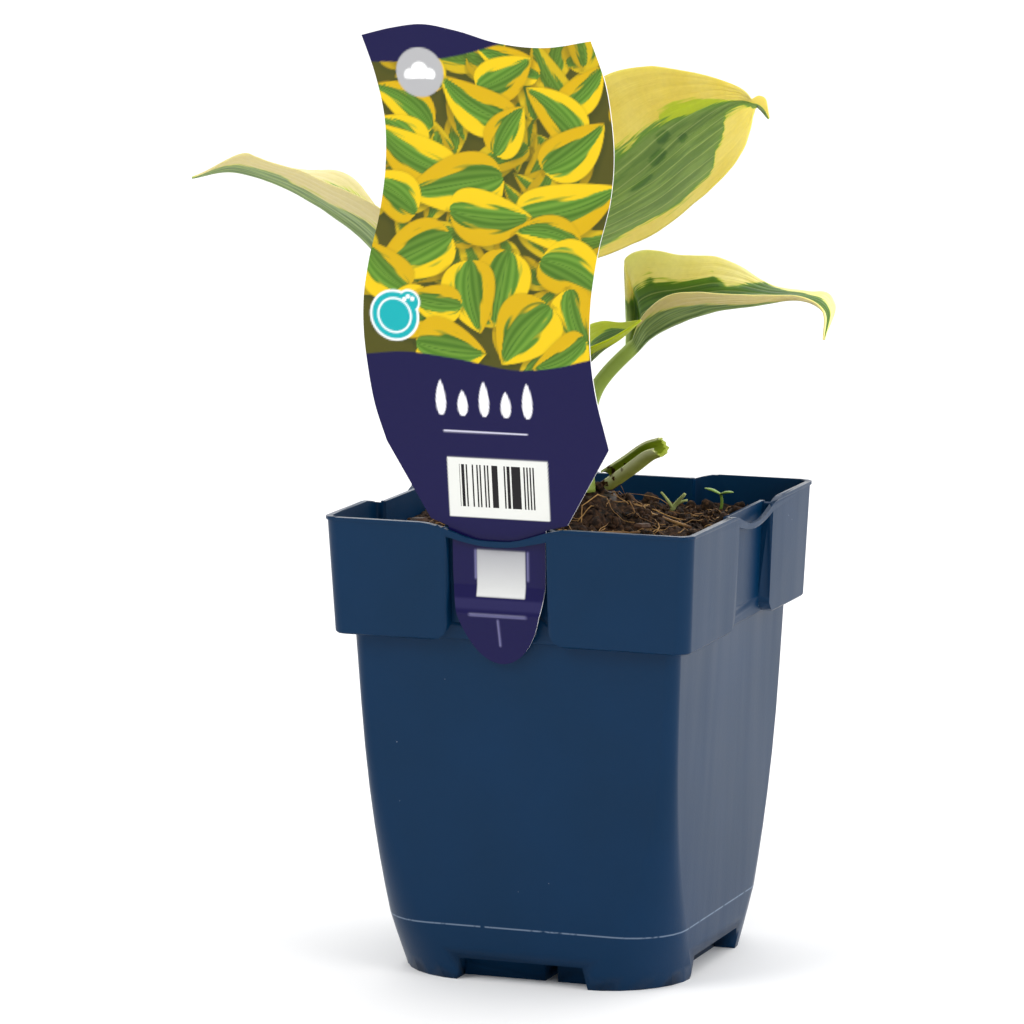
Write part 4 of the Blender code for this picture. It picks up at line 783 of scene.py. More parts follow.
def leaf_material(settings):
    """A variegated leaf: waxy satin, a pale margin, a green heart that breaks up along the veins."""
    mat, tree, shader, place = new_material("waxy_variegated_leaf", 0.42, 1.42)
    paint = add(tree, "ShaderNodeAttribute", attribute_name="paint").outputs["Vector"]
    paint = add(tree, "ShaderNodeSeparateXYZ", {0: paint})
    field, under, stalk = (paint.outputs[i] for i in range(3))
    grain = add(tree, "ShaderNodeAttribute", attribute_name="grain").outputs["Vector"]
    tones_and_painted_light = add(tree, "ShaderNodeAttribute", attribute_name="tone")
    tone = add(tree, "ShaderNodeSeparateXYZ", {0: tones_and_painted_light.outputs["Vector"]})
    lengthwise = add(tree, "ShaderNodeMapping", {"Vector": grain, "Scale": (2.6, 0.55, 1.0)}).outputs[0]
    streak = add(tree, NOISE, {"Vector": lengthwise, "Scale": 1.0, "Detail": 3.0}).outputs["Fac"]
    fine_way = add(tree, "ShaderNodeMapping", {"Vector": grain, "Scale": (9.0, 1.3, 1.0)}).outputs[0]
    fine = add(tree, NOISE, {"Vector": fine_way, "Scale": 1.0, "Detail": 3.0}).outputs["Fac"]
    speck = add(tree, NOISE, {"Vector": place, "Scale": 700.0, "Detail": 3.0}).outputs["Fac"]
    cloud = add(tree, NOISE, {"Vector": place, "Scale": 70.0, "Detail": 3.0}).outputs["Fac"]

    # The heart's edge: the painted field, torn by streaks along the veins
    torn = add(tree, MATH, {0: streak, 1: 0.26, 2: -0.13}, operation="MULTIPLY_ADD").outputs[0]
    edge = add(tree, MATH, {0: field, 1: torn}, operation="ADD").outputs[0]
    torn = add(tree, MATH, {0: fine, 1: 0.10, 2: -0.05}, operation="MULTIPLY_ADD").outputs[0]
    edge = add(tree, MATH, {0: edge, 1: torn}, operation="ADD").outputs[0]
    heart = add(tree, RANGE, {"Value": edge, "From Min": -0.012, "From Max": 0.022}).outputs[0]

    pale = add(tree, RANGE, {"Value": cloud, "From Min": 0.35, "From Max": 0.65}).outputs[0]
    margin = add(tree, MIX, {0: pale, 6: rgba("e0cb50"), 7: rgba("e6d468")}, data_type="RGBA").outputs[2]
    cream = add(tree, MIX, {0: pale, 6: rgba("d3c786"), 7: rgba("dacf96")}, data_type="RGBA").outputs[2]
    margin = add(tree, MIX, {0: tone.outputs[2], 6: margin, 7: cream}, data_type="RGBA").outputs[2]
    low = add(tree, MATH, {0: under, 1: 0.7}, operation="MULTIPLY").outputs[0]
    margin = add(tree, MIX, {0: low, 6: margin, 7: rgba("cbbd84")}, data_type="RGBA").outputs[2]
    # Painted light: the margin colour is scaled by the leaf's "light" value, which brightens or dims the whole
    # upper side of that leaf.
    margin = add(
        tree, "ShaderNodeVectorMath", {0: margin, "Scale": tones_and_painted_light.outputs["Alpha"]}, operation="SCALE"
    ).outputs[0]
    lime = add(tree, RANGE, {"Value": edge, "From Min": -0.16, "From Max": 0.0}).outputs[0]
    lime = add(tree, MATH, {0: lime, 1: fine}, operation="MULTIPLY").outputs[0]
    lime = add(tree, RANGE, {"Value": lime, "From Min": 0.3, "From Max": 0.62}).outputs[0]
    ragged = add(tree, MATH, {0: streak, 1: 0.2, 2: tone.outputs[1]}, operation="MULTIPLY_ADD").outputs[0]
    patch = add(tree, RANGE, {"Value": ragged, "From Min": 0.03, "From Max": 0.07}).outputs[0]
    lime = add(tree, MATH, {0: lime, 1: patch}, operation="MAXIMUM").outputs[0]
    margin = add(tree, MIX, {0: lime, 6: margin, 7: rgba("b3c00c")}, data_type="RGBA").outputs[2]

    stroke = add(tree, RANGE, {"Value": streak, "From Min": 0.42, "From Max": 0.6}).outputs[0]
    deep = add(tree, MIX, {0: stroke, 6: settings.dark, 7: settings.pale}, data_type="RGBA").outputs[2]
    bloom = add(tree, MIX, {0: stroke, 6: rgba("62802e"), 7: rgba("7b953f")}, data_type="RGBA").outputs[2]
    heart_top = add(tree, MIX, {0: tone.outputs[0], 6: deep, 7: bloom}, data_type="RGBA").outputs[2]
    near = add(tree, RANGE, {"Value": edge, "From Min": 0.02, "From Max": 0.10}).outputs[0]
    heart_top = add(tree, MIX, {0: near, 6: rgba("618c1e"), 7: heart_top}, data_type="RGBA").outputs[2]
    heart_low = add(tree, MIX, {0: stroke, 6: rgba("647d48"), 7: rgba("8ba063")}, data_type="RGBA").outputs[2]
    heart_all = add(tree, MIX, {0: under, 6: heart_top, 7: heart_low}, data_type="RGBA").outputs[2]
    # Pale vein lines, each a fine break in the green
    phase = add(tree, "ShaderNodeSeparateXYZ", {0: grain}).outputs[0]
    vein = add(tree, MATH, {0: phase, 1: 0.5}, operation="PINGPONG").outputs[0]
    vein = add(
        tree, RANGE, {"Value": vein, "From Min": 0.02, "From Max": 0.07, "To Min": 0.4, "To Max": 0.0}
    ).outputs[0]
    heart_all = add(tree, MIX, {0: vein, 6: heart_all, 7: rgba("b4bf6c")}, data_type="RGBA").outputs[2]
    shade = add(tree, MIX, {0: heart, 6: margin, 7: heart_all}, data_type="RGBA").outputs[2]

    stem = add(tree, MIX, {0: under, 6: rgba("67801a"), 7: rgba("98ad50")}, data_type="RGBA").outputs[2]
    reach = add(tree, "ShaderNodeSeparateXYZ", {0: grain}).outputs[2]
    lip = add(tree, RANGE, {"Value": reach, "From Min": 0.74, "From Max": 0.9}).outputs[0]
    stem = add(tree, MIX, {0: lip, 6: stem, 7: rgba("b3c27a")}, data_type="RGBA").outputs[2]
    shade = add(tree, MIX, {0: stalk, 6: shade, 7: stem}, data_type="RGBA").outputs[2]
    span = {"From Min": 0.3, "From Max": 0.7, "To Min": 0.97, "To Max": 1.03}
    freckle = add(tree, RANGE, {"Value": speck, **span})
    shade = add(
        tree, MIX, {0: 1.0, 6: shade, 7: freckle.outputs[0]}, data_type="RGBA", blend_type="MULTIPLY"
    ).outputs[2]
    tree.links.new(shade, shader.inputs["Base Color"])
    shader.inputs["Subsurface Weight"].default_value = 0.45
    shader.inputs["Subsurface Radius"].default_value = (0.0012, 0.0012, 0.0004)
    shader.inputs["Subsurface Scale"].default_value = 1.0
    relief = add(tree, MATH, {0: fine, 1: 2.5, 2: speck}, operation="MULTIPLY_ADD").outputs[0]
    bump = add(tree, "ShaderNodeBump", {"Height": relief, "Strength": 0.14, "Distance": 0.00025}).outputs[0]
    tree.links.new(bump, shader.inputs["Normal"])
    return mat


# ---------------------------------------------------------------- cut stalk


CUT_STALK = [(5.2, 14.6, 136.4), (13.0, 11.0, 141.6), (20.0, 7.0, 146.4), (25.0, 3.9, 148.5)]
CUT_STALK_RADIUS = (3.3, 2.8)  # at its foot and at its cut end
CUT_STALK_FACES = (-0.25, -0.75, 0.6)
CUT_STALK_ROWS = 40
GROOVE_POINTS = 30  # points round the outside, and as many round the inside


def cut_stalk_mesh():
    """A cut, channelled leaf stalk: round below, an open groove above, slit and frayed at the cut end."""
    t = np.linspace(0, 1, CUT_STALK_ROWS)
    path = spline(CUT_STALK, t)
    along = unit(np.gradient(path, axis=0))
    side = unit(np.cross(along, np.array(CUT_STALK_FACES)))
    top = np.cross(side, along)
    turn = np.radians(np.linspace(128, 412, GROOVE_POINTS))
    outer = np.stack([np.cos(turn), np.sin(turn)], 1)
    inner = np.stack([0.72 * np.cos(turn[::-1]), 0.15 + 0.68 * np.sin(turn[::-1])], 1)
    ring = np.concatenate([outer, inner])
    inside = np.concatenate([np.zeros(GROOVE_POINTS), np.ones(GROOVE_POINTS)])
    order = np.arange(2 * GROOVE_POINTS)
    last = GROOVE_POINTS - 1
    lip = np.exp(-((np.minimum(order % GROOVE_POINTS, last - order % GROOVE_POINTS) / 3.0) ** 2))
    radius = CUT_STALK_RADIUS[0] + (CUT_STALK_RADIUS[1] - CUT_STALK_RADIUS[0]) * t
    round_it = np.linspace(0, 2 * math.pi, 2 * GROOVE_POINTS)
    wobble = 1 + 0.03 * np.sin(9 * t)[:, None] * np.sin(2 * round_it)[None, :]
    points = path[:, None] + (radius[:, None] * wobble)[..., None] * (
        ring[None, :, :1] * side[:, None] + ring[None, :, 1:] * top[:, None]
    )
    fray = 0.5 * np.sin(order * 1.7) + 0.4 * np.sin(order * 0.6)
    points[-1] += fray[:, None] * along[-1]
    rows, count = points.shape[:2]
    at = np.arange(rows * count).reshape(rows, count)
    after = np.roll(at, -1, axis=1)
    faces = np.stack([at[:-1].ravel(), after[:-1].ravel(), after[1:].ravel(), at[1:].ravel()], 1).tolist()
    for end in (at[0], at[-1]):
        for i in range(last):
            faces.append([int(end[k]) for k in (i, i + 1, -2 - i, -1 - i)])
    flags = np.stack([np.tile(inside, rows), np.tile(lip, rows), np.repeat(t, count)], 1)
    return points.reshape(-1, 3), faces, {"paint": flags}


def cut_stalk_material():
    """A cut leaf stalk: juicy and fibrous, bright green in its groove and pale along its lips."""
    mat, tree, shader, place = new_material("cut_leaf_stalk_flesh", 0.6, 1.4)
    shader.inputs["Specular IOR Level"].default_value = 0.2
    paint = add(tree, "ShaderNodeAttribute", attribute_name="paint").outputs["Vector"]
    paint = add(tree, "ShaderNodeSeparateXYZ", {0: paint})
    ribs = add(tree, NOISE, {"Vector": place, "Scale": 420.0, "Detail": 4.0}).outputs["Fac"]
    out = add(tree, MIX, {0: ribs, 6: rgba("a5b13c"), 7: rgba("c8d070")}, data_type="RGBA").outputs[2]
    into = add(tree, MIX, {0: ribs, 6: rgba("83981c"), 7: rgba("aaba34")}, data_type="RGBA").outputs[2]
    shade = add(tree, MIX, {0: paint.outputs[0], 6: out, 7: into}, data_type="RGBA").outputs[2]
    shade = add(tree, MIX, {0: paint.outputs[1], 6: shade, 7: rgba("dde0ac")}, data_type="RGBA").outputs[2]
    dirt = add(tree, NOISE, {"Vector": place, "Scale": 330.0, "Detail": 5.0}).outputs["Fac"]
    low = add(tree, MATH, {0: paint.outputs[2], 1: -0.5, 2: 0.35}, operation="MULTIPLY_ADD").outputs[0]
    dirt = add(tree, MATH, {0: dirt, 1: low}, operation="ADD").outputs[0]
    dirt = add(tree, RANGE, {"Value": dirt, "From Min": 0.82, "From Max": 0.88}).outputs[0]
    shade = add(tree, MIX, {0: dirt, 6: shade, 7: rgba("4a3119")}, data_type="RGBA").outputs[2]
    tree.links.new(shade, shader.inputs["Base Color"])
    bump = add(tree, "ShaderNodeBump", {"Height": ribs, "Strength": 0.35, "Distance": 0.0004}).outputs[0]
    tree.links.new(bump, shader.inputs["Normal"])
    return mat


# ---------------------------------------------------------------- label

CARD_FOOT = np.array([0.0, -52.8, 130.0])
CARD_LEAN = math.radians(7.0)
CARD_HEIGHT = 141.2
TONGUE_LENGTH = 37.6
CARD_ROWS = 352
TONGUE_ROWS = 92
TONGUE_MIDDLE, TONGUE_HALF = -2.4, 13.8
TONGUE_STRAIGHT = 8.0  # length of the tongue before it rounds off
NECK_HEIGHTS, NECK_TOP = [0.0, 1.3, 2.6, 3.5], 4.4
BAR_PANEL = ((-1.9, 11.3), (14.5, 6.1))  # middle and half-size of the bars, across and up the card
SKY_DISC = (-18.8, 131.4, 7.1)  # place on the card and radius
CREASE_HALF = 0.35  # mm
BADGE, BADGE_KNOB = (-30.1, 62.5), (-25.7, 66.6)
PRINT_SEED = 7
CARD_COLUMNS = 170
BAR_MODULE = 0.45  # width of the narrowest bar
TOP_ROWS = 14  # rows of the front that one face of the back spans, under the wavy top edge
CORNER = 26.0  # height on the card where its sides bend and its smooth outline starts

LEFT_EDGE = [(0, -17.2), (2.6, -17.3), (4.4, -22.4), (26.3, -34.5), (36, -37.3), (48, -39.0), (57.7, -39.6)]
LEFT_EDGE += [(67.8, -39.0), (77.6, -37.0), (91.3, -32.9), (105, -30.3), (117.6, -29.9), (129.3, -31.9)]
LEFT_EDGE += [(141.2, -35.4)]
RIGHT_EDGE = [(0, 11.6), (2.6, 11.7), (4.4, 18.2), (26.8, 31.4), (43.2, 28.0), (54.8, 27.1), (68.6, 28.0)]
RIGHT_EDGE += [(82.2, 30.7), (97.8, 35.2), (109.2, 36.6), (118.9, 36.4), (130.2, 34.9), (141.2, 31.4)]
TOP_EDGE = [(-36, 141.2), (-26, 143.7), (-17.8, 144.8), (-7.9, 143.3), (4.2, 140.1), (18, 139.1), (32, 141.4)]
PANEL_TOP = [(-40, 133.6), (-33, 134.1), (-18.3, 134.7), (-5, 137.1), (4.2, 139.8), (20, 145), (40, 150)]
PANEL_FOOT = [(-40, 50.8), (-28, 52.0), (-12.9, 50.7), (6.5, 48.1), (17.8, 49.5), (27, 51.9), (40, 53)]
TONGUE_CREASES = [(0, 0.0, 0.0), (7, 0.2, -7.0), (14, 0.4, -14.0), (22.5, -1.4, -22.0), (30, 0.6, -29.0)]
TONGUE_CREASES += [(TONGUE_LENGTH, 2.3, -36.3)]

# The foliage printed on the card: base and tip of each leaf and its half-width, in millimetres on the card
PRINTED_LEAVES = [
    (-12, 128, -26, 137, 4.5),
    (16, 131, 0, 138, 4.0),
    (-2, 127, 12, 135, 5.5),
    (22, 122, 33, 133, 4.5),
    (8, 118, -10, 129, 6.0),
    (28, 113, 14, 126, 5.5),
    (-16, 116, -31, 126, 5.0),
    (-20, 107, -30, 117, 6.0),
    (-10, 103, -30, 115, 6.5),
    (2, 109, 10, 121, 5.0),
    (16, 105, 32, 117, 6.0),
    (4, 103, -21, 98, 7.5),
    (-22, 92, -35, 100, 6.0),
    (8, 92, 34, 100, 7.0),
    (-12, 93, 9, 92, 7.0),
    (26, 84, 9, 87, 4.5),
    (-12, 86, -32, 76, 7.0),
    (-26, 70, -37, 82, 6.5),
    (14, 80, 31, 70, 7.5),
    (5, 82, 0, 63, 7.0),
    (-7, 79, -5, 61, 7.0),
    (-18, 67, -34, 60, 6.5),
    (-10, 66, -24, 68, 5.0),
    (22, 72, 27, 56, 6.0),
    (16, 67, 3, 52, 8.0),
    (-24, 55, -6, 53, 8.0),
    (26, 58, 12, 50, 5.0),
]


def card_point(a, b):
    """A point on the card: a across, b up from the strap."""
    sin, cos = math.sin(CARD_LEAN), math.cos(CARD_LEAN)
    return np.stack([a, CARD_FOOT[1] - b * sin, CARD_FOOT[2] + b * cos], -1)


def card_side(edge, base):
    """Where a side of the card is: straight lines up to its corner and a smooth curve above it."""
    curved = [key for key in edge if key[0] >= CORNER]
    return lines(edge, base) if base < curved[0][0] else float(flowing(curved, base))


def between(values, low, high, soft):
    """1 between low and high and 0 outside them, with soft edges."""
    return np.clip((values - low) / soft, 0, 1) * np.clip((high - values) / soft, 0, 1)


def creases(a, b):
    """How far each place of the tongue is on a crease of the card, from 0 to 1."""

    def upright(middle, low, high):
        return np.exp(-(((a - middle) / CREASE_HALF) ** 2)) * between(b, low, high, 0.6)

    level = np.exp(-(((b + 22.7) / CREASE_HALF) ** 2)) * between(a, -11.5, 6.7, 1.0)
    sides = [upright(-9.4, -12.5, -3.5), upright(6.2, -12.5, -3.5)]
    return np.maximum.reduce([*sides, upright(TONGUE_MIDDLE, -32.5, -23.5), level])


def card_grid():
    """The card's middle surface from the tongue's tip to the top edge, with its flat coordinates a and b."""
    across = np.linspace(0, 1, CARD_COLUMNS + 1)
    rows, flat = [], []
    for k in range(TONGUE_ROWS):
        d = TONGUE_LENGTH * (1 - k / TONGUE_ROWS)
        rounding = max(0.0, (d - TONGUE_STRAIGHT) / (TONGUE_LENGTH - TONGUE_STRAIGHT))
        reach = TONGUE_HALF * max(math.sqrt(max(0.0, 1 - rounding**2.2)), 0.05)
        a = TONGUE_MIDDLE + reach * (2 * across - 1)
        y = CARD_FOOT[1] + lines([(s, v) for s, v, _ in TONGUE_CREASES], d)
        z = CARD_FOOT[2] + lines([(s, v) for s, _, v in TONGUE_CREASES], d)
        rows.append(np.stack([a, np.full_like(a, y), np.full_like(a, z)], -1))
        flat.append(np.stack([a, np.full_like(a, -d)], -1))
    above = NECK_TOP + (CARD_HEIGHT - NECK_TOP) * np.arange(CARD_ROWS + 1) / CARD_ROWS
    heights = np.concatenate([NECK_HEIGHTS, above])
    for base in heights:
        left, right = card_side(LEFT_EDGE, base), card_side(RIGHT_EDGE, base)
        a = left + (right - left) * across
        b = base + (flowing(TOP_EDGE, a) - CARD_HEIGHT) * (base / CARD_HEIGHT) ** 3
        rows.append(card_point(a, b))
        flat.append(np.stack([a, b], -1))
    return np.array(rows), np.array(flat)


def blot(canvas, mask, colour, strength=1.0):
    """Lays a colour over the canvas where the mask is, softly at its edge."""
    cover = (np.clip(mask, 0, 1) * strength)[..., None]
    canvas[:] = canvas * (1 - cover) + np.asarray(colour) * cover


def blend(low, high, share):
    """A colour for each place between two hex colours."""
    share = share[..., None]
    return np.asarray(linear(low)) * (1 - share) + np.asarray(linear(high)) * share


def print_leaf(canvas, flat, leaf, rng):
    """Prints one variegated leaf with its shadow on the foliage picture."""
    a0, b0, a1, b1, width = leaf
    width = 1.45 * width
    along = 1.15 * np.array([a1 - a0, b1 - b0])
    length = np.hypot(*along)
    along = along / length
    da, db = flat[..., 0] - a0, flat[..., 1] - b0
    s = (da * along[0] + db * along[1]) / length
    w = -da * along[1] + db * along[0]
    w = w - rng.uniform(-0.12, 0.12) * length * 4 * s * (1 - s)
    inside = np.clip(s, 1e-4, 1 - 1e-4)
    half = width * inside**0.42 * (1 - inside) ** 0.85 / 0.55
    share = w / np.maximum(half, 0.05)
    on = (s > 0) & (s < 1)
    soft = np.clip((half - np.abs(w)) / 0.35, 0, 1) * on
    drop = np.clip((half + 1.4 - np.abs(w + 0.8 * np.sign(along[0]))) / 1.8, 0, 1) * (s > -0.05) * (s < 1.05)
    blot(canvas, drop, linear("2a340e"), 0.4)
    sun = 0.5 + 0.5 * np.tanh(3 * share * rng.choice([-1, 1]))
    blot(canvas, soft, blend("c8a208", "e0bd14", sun))
    phase = rng.uniform(0, 6.28, 3)
    reach = 0.52 + 0.10 * np.sin(7 * s + phase[0])
    reach = reach + 0.10 * np.sin(23 * share + phase[1]) * np.sin(9 * s + phase[2])
    heart = np.clip((reach - np.abs(share)) / 0.10, 0, 1) * soft * np.clip((0.97 - s) / 0.05, 0, 1)
    veins = 0.5 + 0.5 * np.cos(2 * math.pi * 3.6 * np.abs(share) ** 0.9 - 4 * s)
    blot(canvas, heart, blend("466f1e", "62892e", veins) * (0.8 + 0.4 * sun[..., None]))
    blot(canvas, np.clip(1 - np.abs(w) / 0.22, 0, 1) * soft, linear("355f1c"), 0.7)
    rim = np.clip(1 - (half - np.abs(w)) / 0.5, 0, 1) * soft
    blot(canvas, rim, linear("8f6c0a"), 0.3)


def foliage_print(flat, rng):
    """The picture on the card: a scatter of small leaves behind, and the bigger printed leaves in front."""
    picture = np.ones((*flat.shape[:2], 3)) * np.asarray(linear("4a4414"))
    for _ in range(90):
        a0, b0 = rng.uniform(-40, 38), rng.uniform(48, 142)
        turn = rng.uniform(0, 2 * math.pi)
        length = rng.uniform(11, 20)
        leaf = (a0, b0, a0 + length * math.cos(turn), b0 + length * math.sin(turn), rng.uniform(2.8, 4.6))
        print_leaf(picture, flat, leaf, rng)
    blot(picture, np.ones(flat.shape[:2]), linear("4c5416"), 0.3)
    for leaf in PRINTED_LEAVES:
        print_leaf(picture, flat, leaf, rng)
    return picture


def print_badges(canvas, a, b):
    """A grey disc with a plain cloud, and a round badge with a ring and three dots."""

    def disc(ca, cb, radius, soft=0.4):
        return np.clip((radius - np.hypot(a - ca, b - cb)) / soft, 0, 1)

    white = linear("f4f7f7")
    blot(canvas, disc(*SKY_DISC), linear("a9a9ab"))
    cloud = np.maximum.reduce([disc(-21.6, 130.6, 2.0), disc(-18.9, 131.8, 2.7), disc(-16.0, 130.9, 1.9)])
    blot(canvas, cloud * np.clip((b - 129.4) / 0.3, 0, 1), linear("f4f4f4"))
    for radius, knob_radius, ink in ((7.5, 3.6, white), (6.9, 3.1, linear("12a3a8"))):
        blot(canvas, np.maximum(disc(*BADGE, radius), disc(*BADGE_KNOB, knob_radius)), ink)
    blot(canvas, disc(*BADGE, 5.3) - disc(*BADGE, 4.8), white)
    for k in range(3):
        turn = math.radians(35 + 60 * k)
        place = (BADGE_KNOB[0] + 1.4 * math.cos(turn), BADGE_KNOB[1] + 1.4 * math.sin(turn))
        blot(canvas, disc(*place, 0.8), white)


def print_foot(canvas, a, b):
    """Below the picture: plain leaf shapes over a fine rule, the white panel and the tongue's bare patch."""
    for k in range(5):
        s = (b - 34.4) / (10.4 if k % 2 == 0 else 7.6)
        inside = np.clip(s, 1e-4, 1 - 1e-4)
        half = 3.9 * inside**0.5 * (1 - inside) ** 0.8
        on = np.clip((half - np.abs(a + 17.6 - 6.4 * k)) / 0.3, 0, 1) * (s > 0) * (s < 1)
        blot(canvas, on, linear("ecebf2"))
    rule = np.clip((0.35 - np.abs(b - 30.0)) / 0.2, 0, 1) * between(a, -17.4, 7.8, 0.3)
    blot(canvas, rule, linear("cfcde0"))
    blot(canvas, between(b, 5.2, 22.7, 0.3) * between(a, -16.8, 13.3, 0.3), linear("dcddd8"))
    patch = between(b, -17.5, -3.6, 0.4) * between(a, -9.2, 5.6, 0.4)
    blot(canvas, patch, blend("d0d1cf", "9b9ba0", np.clip((b + 17.5) / 14, 0, 1)))
    band = np.clip((b + 21.5) / 0.8, 0, 1) * np.clip((-17.7 - b) / 0.6, 0, 1)
    blot(canvas, band, linear("34325c"), 0.45)
    blot(canvas, creases(a, b), linear("8583b0"), 0.55)


def card_print(flat, ground, rng):
    """The colours of the card's front, but for the bars, which its material draws."""
    a, b = flat[..., 0], flat[..., 1]
    canvas = np.ones((*a.shape, 3)) * np.asarray(ground)
    panel = between(b, flowing(PANEL_FOOT, a), flowing(PANEL_TOP, a), 0.4)
    blot(canvas, panel, foliage_print(flat, rng))
    print_badges(canvas, a, b)
    print_foot(canvas, a, b)
    return canvas


def label_mesh(settings):
    """A closed card: the printed front as a fine grid, a plain back, and a pale cut edge all round."""
    middle, flat = card_grid()
    rows, columns = middle.shape[:2]
    normal = unit(np.cross(np.gradient(middle, axis=1), np.gradient(middle, axis=0)))
    half = settings.thickness / MM / 2
    front, back = middle + normal * half, middle - normal * half
    if front[-1, 0, 1] > back[-1, 0, 1]:
        front, back = back, front
    front += unit(front - middle) * 0.25 * creases(flat[..., 0], flat[..., 1])[..., None]
    ground = settings.ground[:3]
    colours = card_print(flat, ground, np.random.default_rng(PRINT_SEED))
    upper = grid_faces(rows, columns)
    count = rows * columns
    behind = np.concatenate([back[:, 0], back[:, -1], back[-1, 1:-1]])
    left, right = count + np.arange(rows), count + rows + np.arange(rows)
    low = rows - TOP_ROWS
    lower = np.stack([left[: low - 1], left[1:low], right[1:low], right[: low - 1]], 1)
    top = np.concatenate([left[-1:], count + 2 * rows + np.arange(columns - 2), right[-1:]])
    at = np.arange(count).reshape(rows, columns)
    left_edge = np.stack([at[:-1, 0], at[1:, 0], left[1:], left[:-1]], 1)
    right_edge = np.stack([at[:-1, -1], right[:-1], right[1:], at[1:, -1]], 1)
    top_edge = np.stack([at[-1, :-1], at[-1, 1:], top[1:], top[:-1]], 1)
    faces = [tuple(f) for f in np.concatenate([upper, lower, left_edge, right_edge, top_edge]).tolist()]
    faces.append((*at[0, :].tolist(), int(right[0]), int(left[0])))
    faces.append((*left[low - 1 : -1].tolist(), *top.tolist(), *right[low - 1 : -1][::-1].tolist()))
    slots = np.zeros(len(faces), np.int32)
    slots[len(upper) + len(lower) : -1] = 1
    ink = np.ones((count + len(behind), 4))
    ink[:count, :3] = colours.reshape(-1, 3)
    ink[count:, :3] = ground
    points = np.concatenate([front.reshape(-1, 3), behind])
    plan = np.zeros((len(points), 3))
    plan[:count, :2] = flat.reshape(-1, 2)
    plan[:count, 2] = 1.0
    return points, faces, slots, {"ink": ink, "flat": plan}


def card_material():
    """Polypropylene card, offset-printed and varnished: glossy ink on a white core."""
    mat, tree, shader, place = new_material("printed_polypropylene_card", 0.22, 1.49)
    shader.inputs["Specular IOR Level"].default_value = 0.16
    ink = add(tree, "ShaderNodeAttribute", attribute_name="ink").outputs["Color"]
    flat = add(tree, "ShaderNodeAttribute", attribute_name="flat").outputs["Vector"]
    flat = add(tree, "ShaderNodeSeparateXYZ", {0: flat})
    module = add(tree, MATH, {0: flat.outputs[0], 1: BAR_MODULE}, operation="DIVIDE").outputs[0]
    module = add(tree, MATH, {0: module}, operation="FLOOR").outputs[0]
    bars = add(tree, "ShaderNodeTexWhiteNoise", {"W": module}, noise_dimensions="1D").outputs["Value"]
    bars = add(tree, MATH, {0: bars, 1: 0.5}, operation="GREATER_THAN").outputs[0]
    for k, (middle, half) in enumerate(BAR_PANEL):
        inside = add(tree, MATH, {0: flat.outputs[k], 1: middle, 2: half}, operation="COMPARE").outputs[0]
        bars = add(tree, MATH, {0: bars, 1: inside}, operation="MULTIPLY").outputs[0]
    front = add(tree, MATH, {0: flat.outputs[2], 1: 0.5}, operation="GREATER_THAN").outputs[0]
    bars = add(tree, MATH, {0: bars, 1: front}, operation="MULTIPLY").outputs[0]
    ink = add(tree, MIX, {0: bars, 6: ink, 7: rgba("1c1a1c")}, data_type="RGBA").outputs[2]
    tree.links.new(ink, shader.inputs["Base Color"])
    wave = add(tree, NOISE, {"Vector": place, "Scale": 60.0, "Detail": 2.0}).outputs["Fac"]
    bump = add(tree, "ShaderNodeBump", {"Height": wave, "Strength": 0.1, "Distance": 0.001}).outputs[0]
    tree.links.new(bump, shader.inputs["Normal"])
    return mat


def card_edge_material():
    """The card's white core where the die has cut it: matt and a little translucent."""
    mat, tree, shader, place = new_material("cut_polypropylene_edge", 0.5, 1.49)
    tone = add(tree, NOISE, {"Vector": place, "Scale": 500.0}).outputs["Fac"]
    shade = add(tree, MIX, {0: tone, 6: rgba("d8d7dc"), 7: rgba("f1f0f0")}, data_type="RGBA").outputs[2]
    tree.links.new(shade, shader.inputs["Base Color"])
    return mat


def plant_material(name, dark, pale, roughness=0.5):
    """Young green tissue: soft satin, mottled from yellow-green to green."""
    mat, tree, shader, place = new_material(name, roughness, 1.4)
    tone = add(tree, NOISE, {"Vector": place, "Scale": 500.0, "Detail": 3.0}).outputs["Fac"]
    shade = add(tree, MIX, {0: tone, 6: rgba(dark), 7: rgba(pale)}, data_type="RGBA").outputs[2]
    tree.links.new(shade, shader.inputs["Base Color"])
    shader.inputs["Subsurface Weight"].default_value = 0.1
    shader.inputs["Subsurface Radius"].default_value = (0.001, 0.001, 0.0004)
    return mat


# ---------------------------------------------------------------- settings


def colour_property(name, description, code):
    """A colour property that starts at an sRGB hex value."""
    return bpy.props.FloatVectorProperty(
        name=name, description=description, subtype="COLOR", size=4, default=rgba(code), min=0.0, max=1.0
    )


def length_property(name, description, default):
    return bpy.props.FloatProperty(
        name=name, description=description, default=default, unit="LENGTH", subtype="DISTANCE"
    )


class PotSettings(bpy.types.PropertyGroup):
    roughness: bpy.props.FloatProperty(
        name="Roughness", description="How satin the moulded plastic is", default=0.36, min=0.03, max=0.96
    )
    dark: colour_property("Dark", "Darker colour of the plastic", "00243f")
    pale: colour_property("Pale", "Lighter colour of the plastic", "002a4c")


class MediumSettings(bpy.types.PropertyGroup):
    crumbs: bpy.props.IntProperty(name="Crumbs", description="Loose crumbs on the clods", default=1500, min=0)
    lumps: bpy.props.IntProperty(name="Lumps", description="Bigger lumps on the clods", default=70, min=0)
    fibres: bpy.props.IntProperty(name="Fibres", description="Coir fibres on the medium", default=170, min=0)
    seed: bpy.props.IntProperty(name="Seed", description="Start of the random scatter", default=5, min=0)


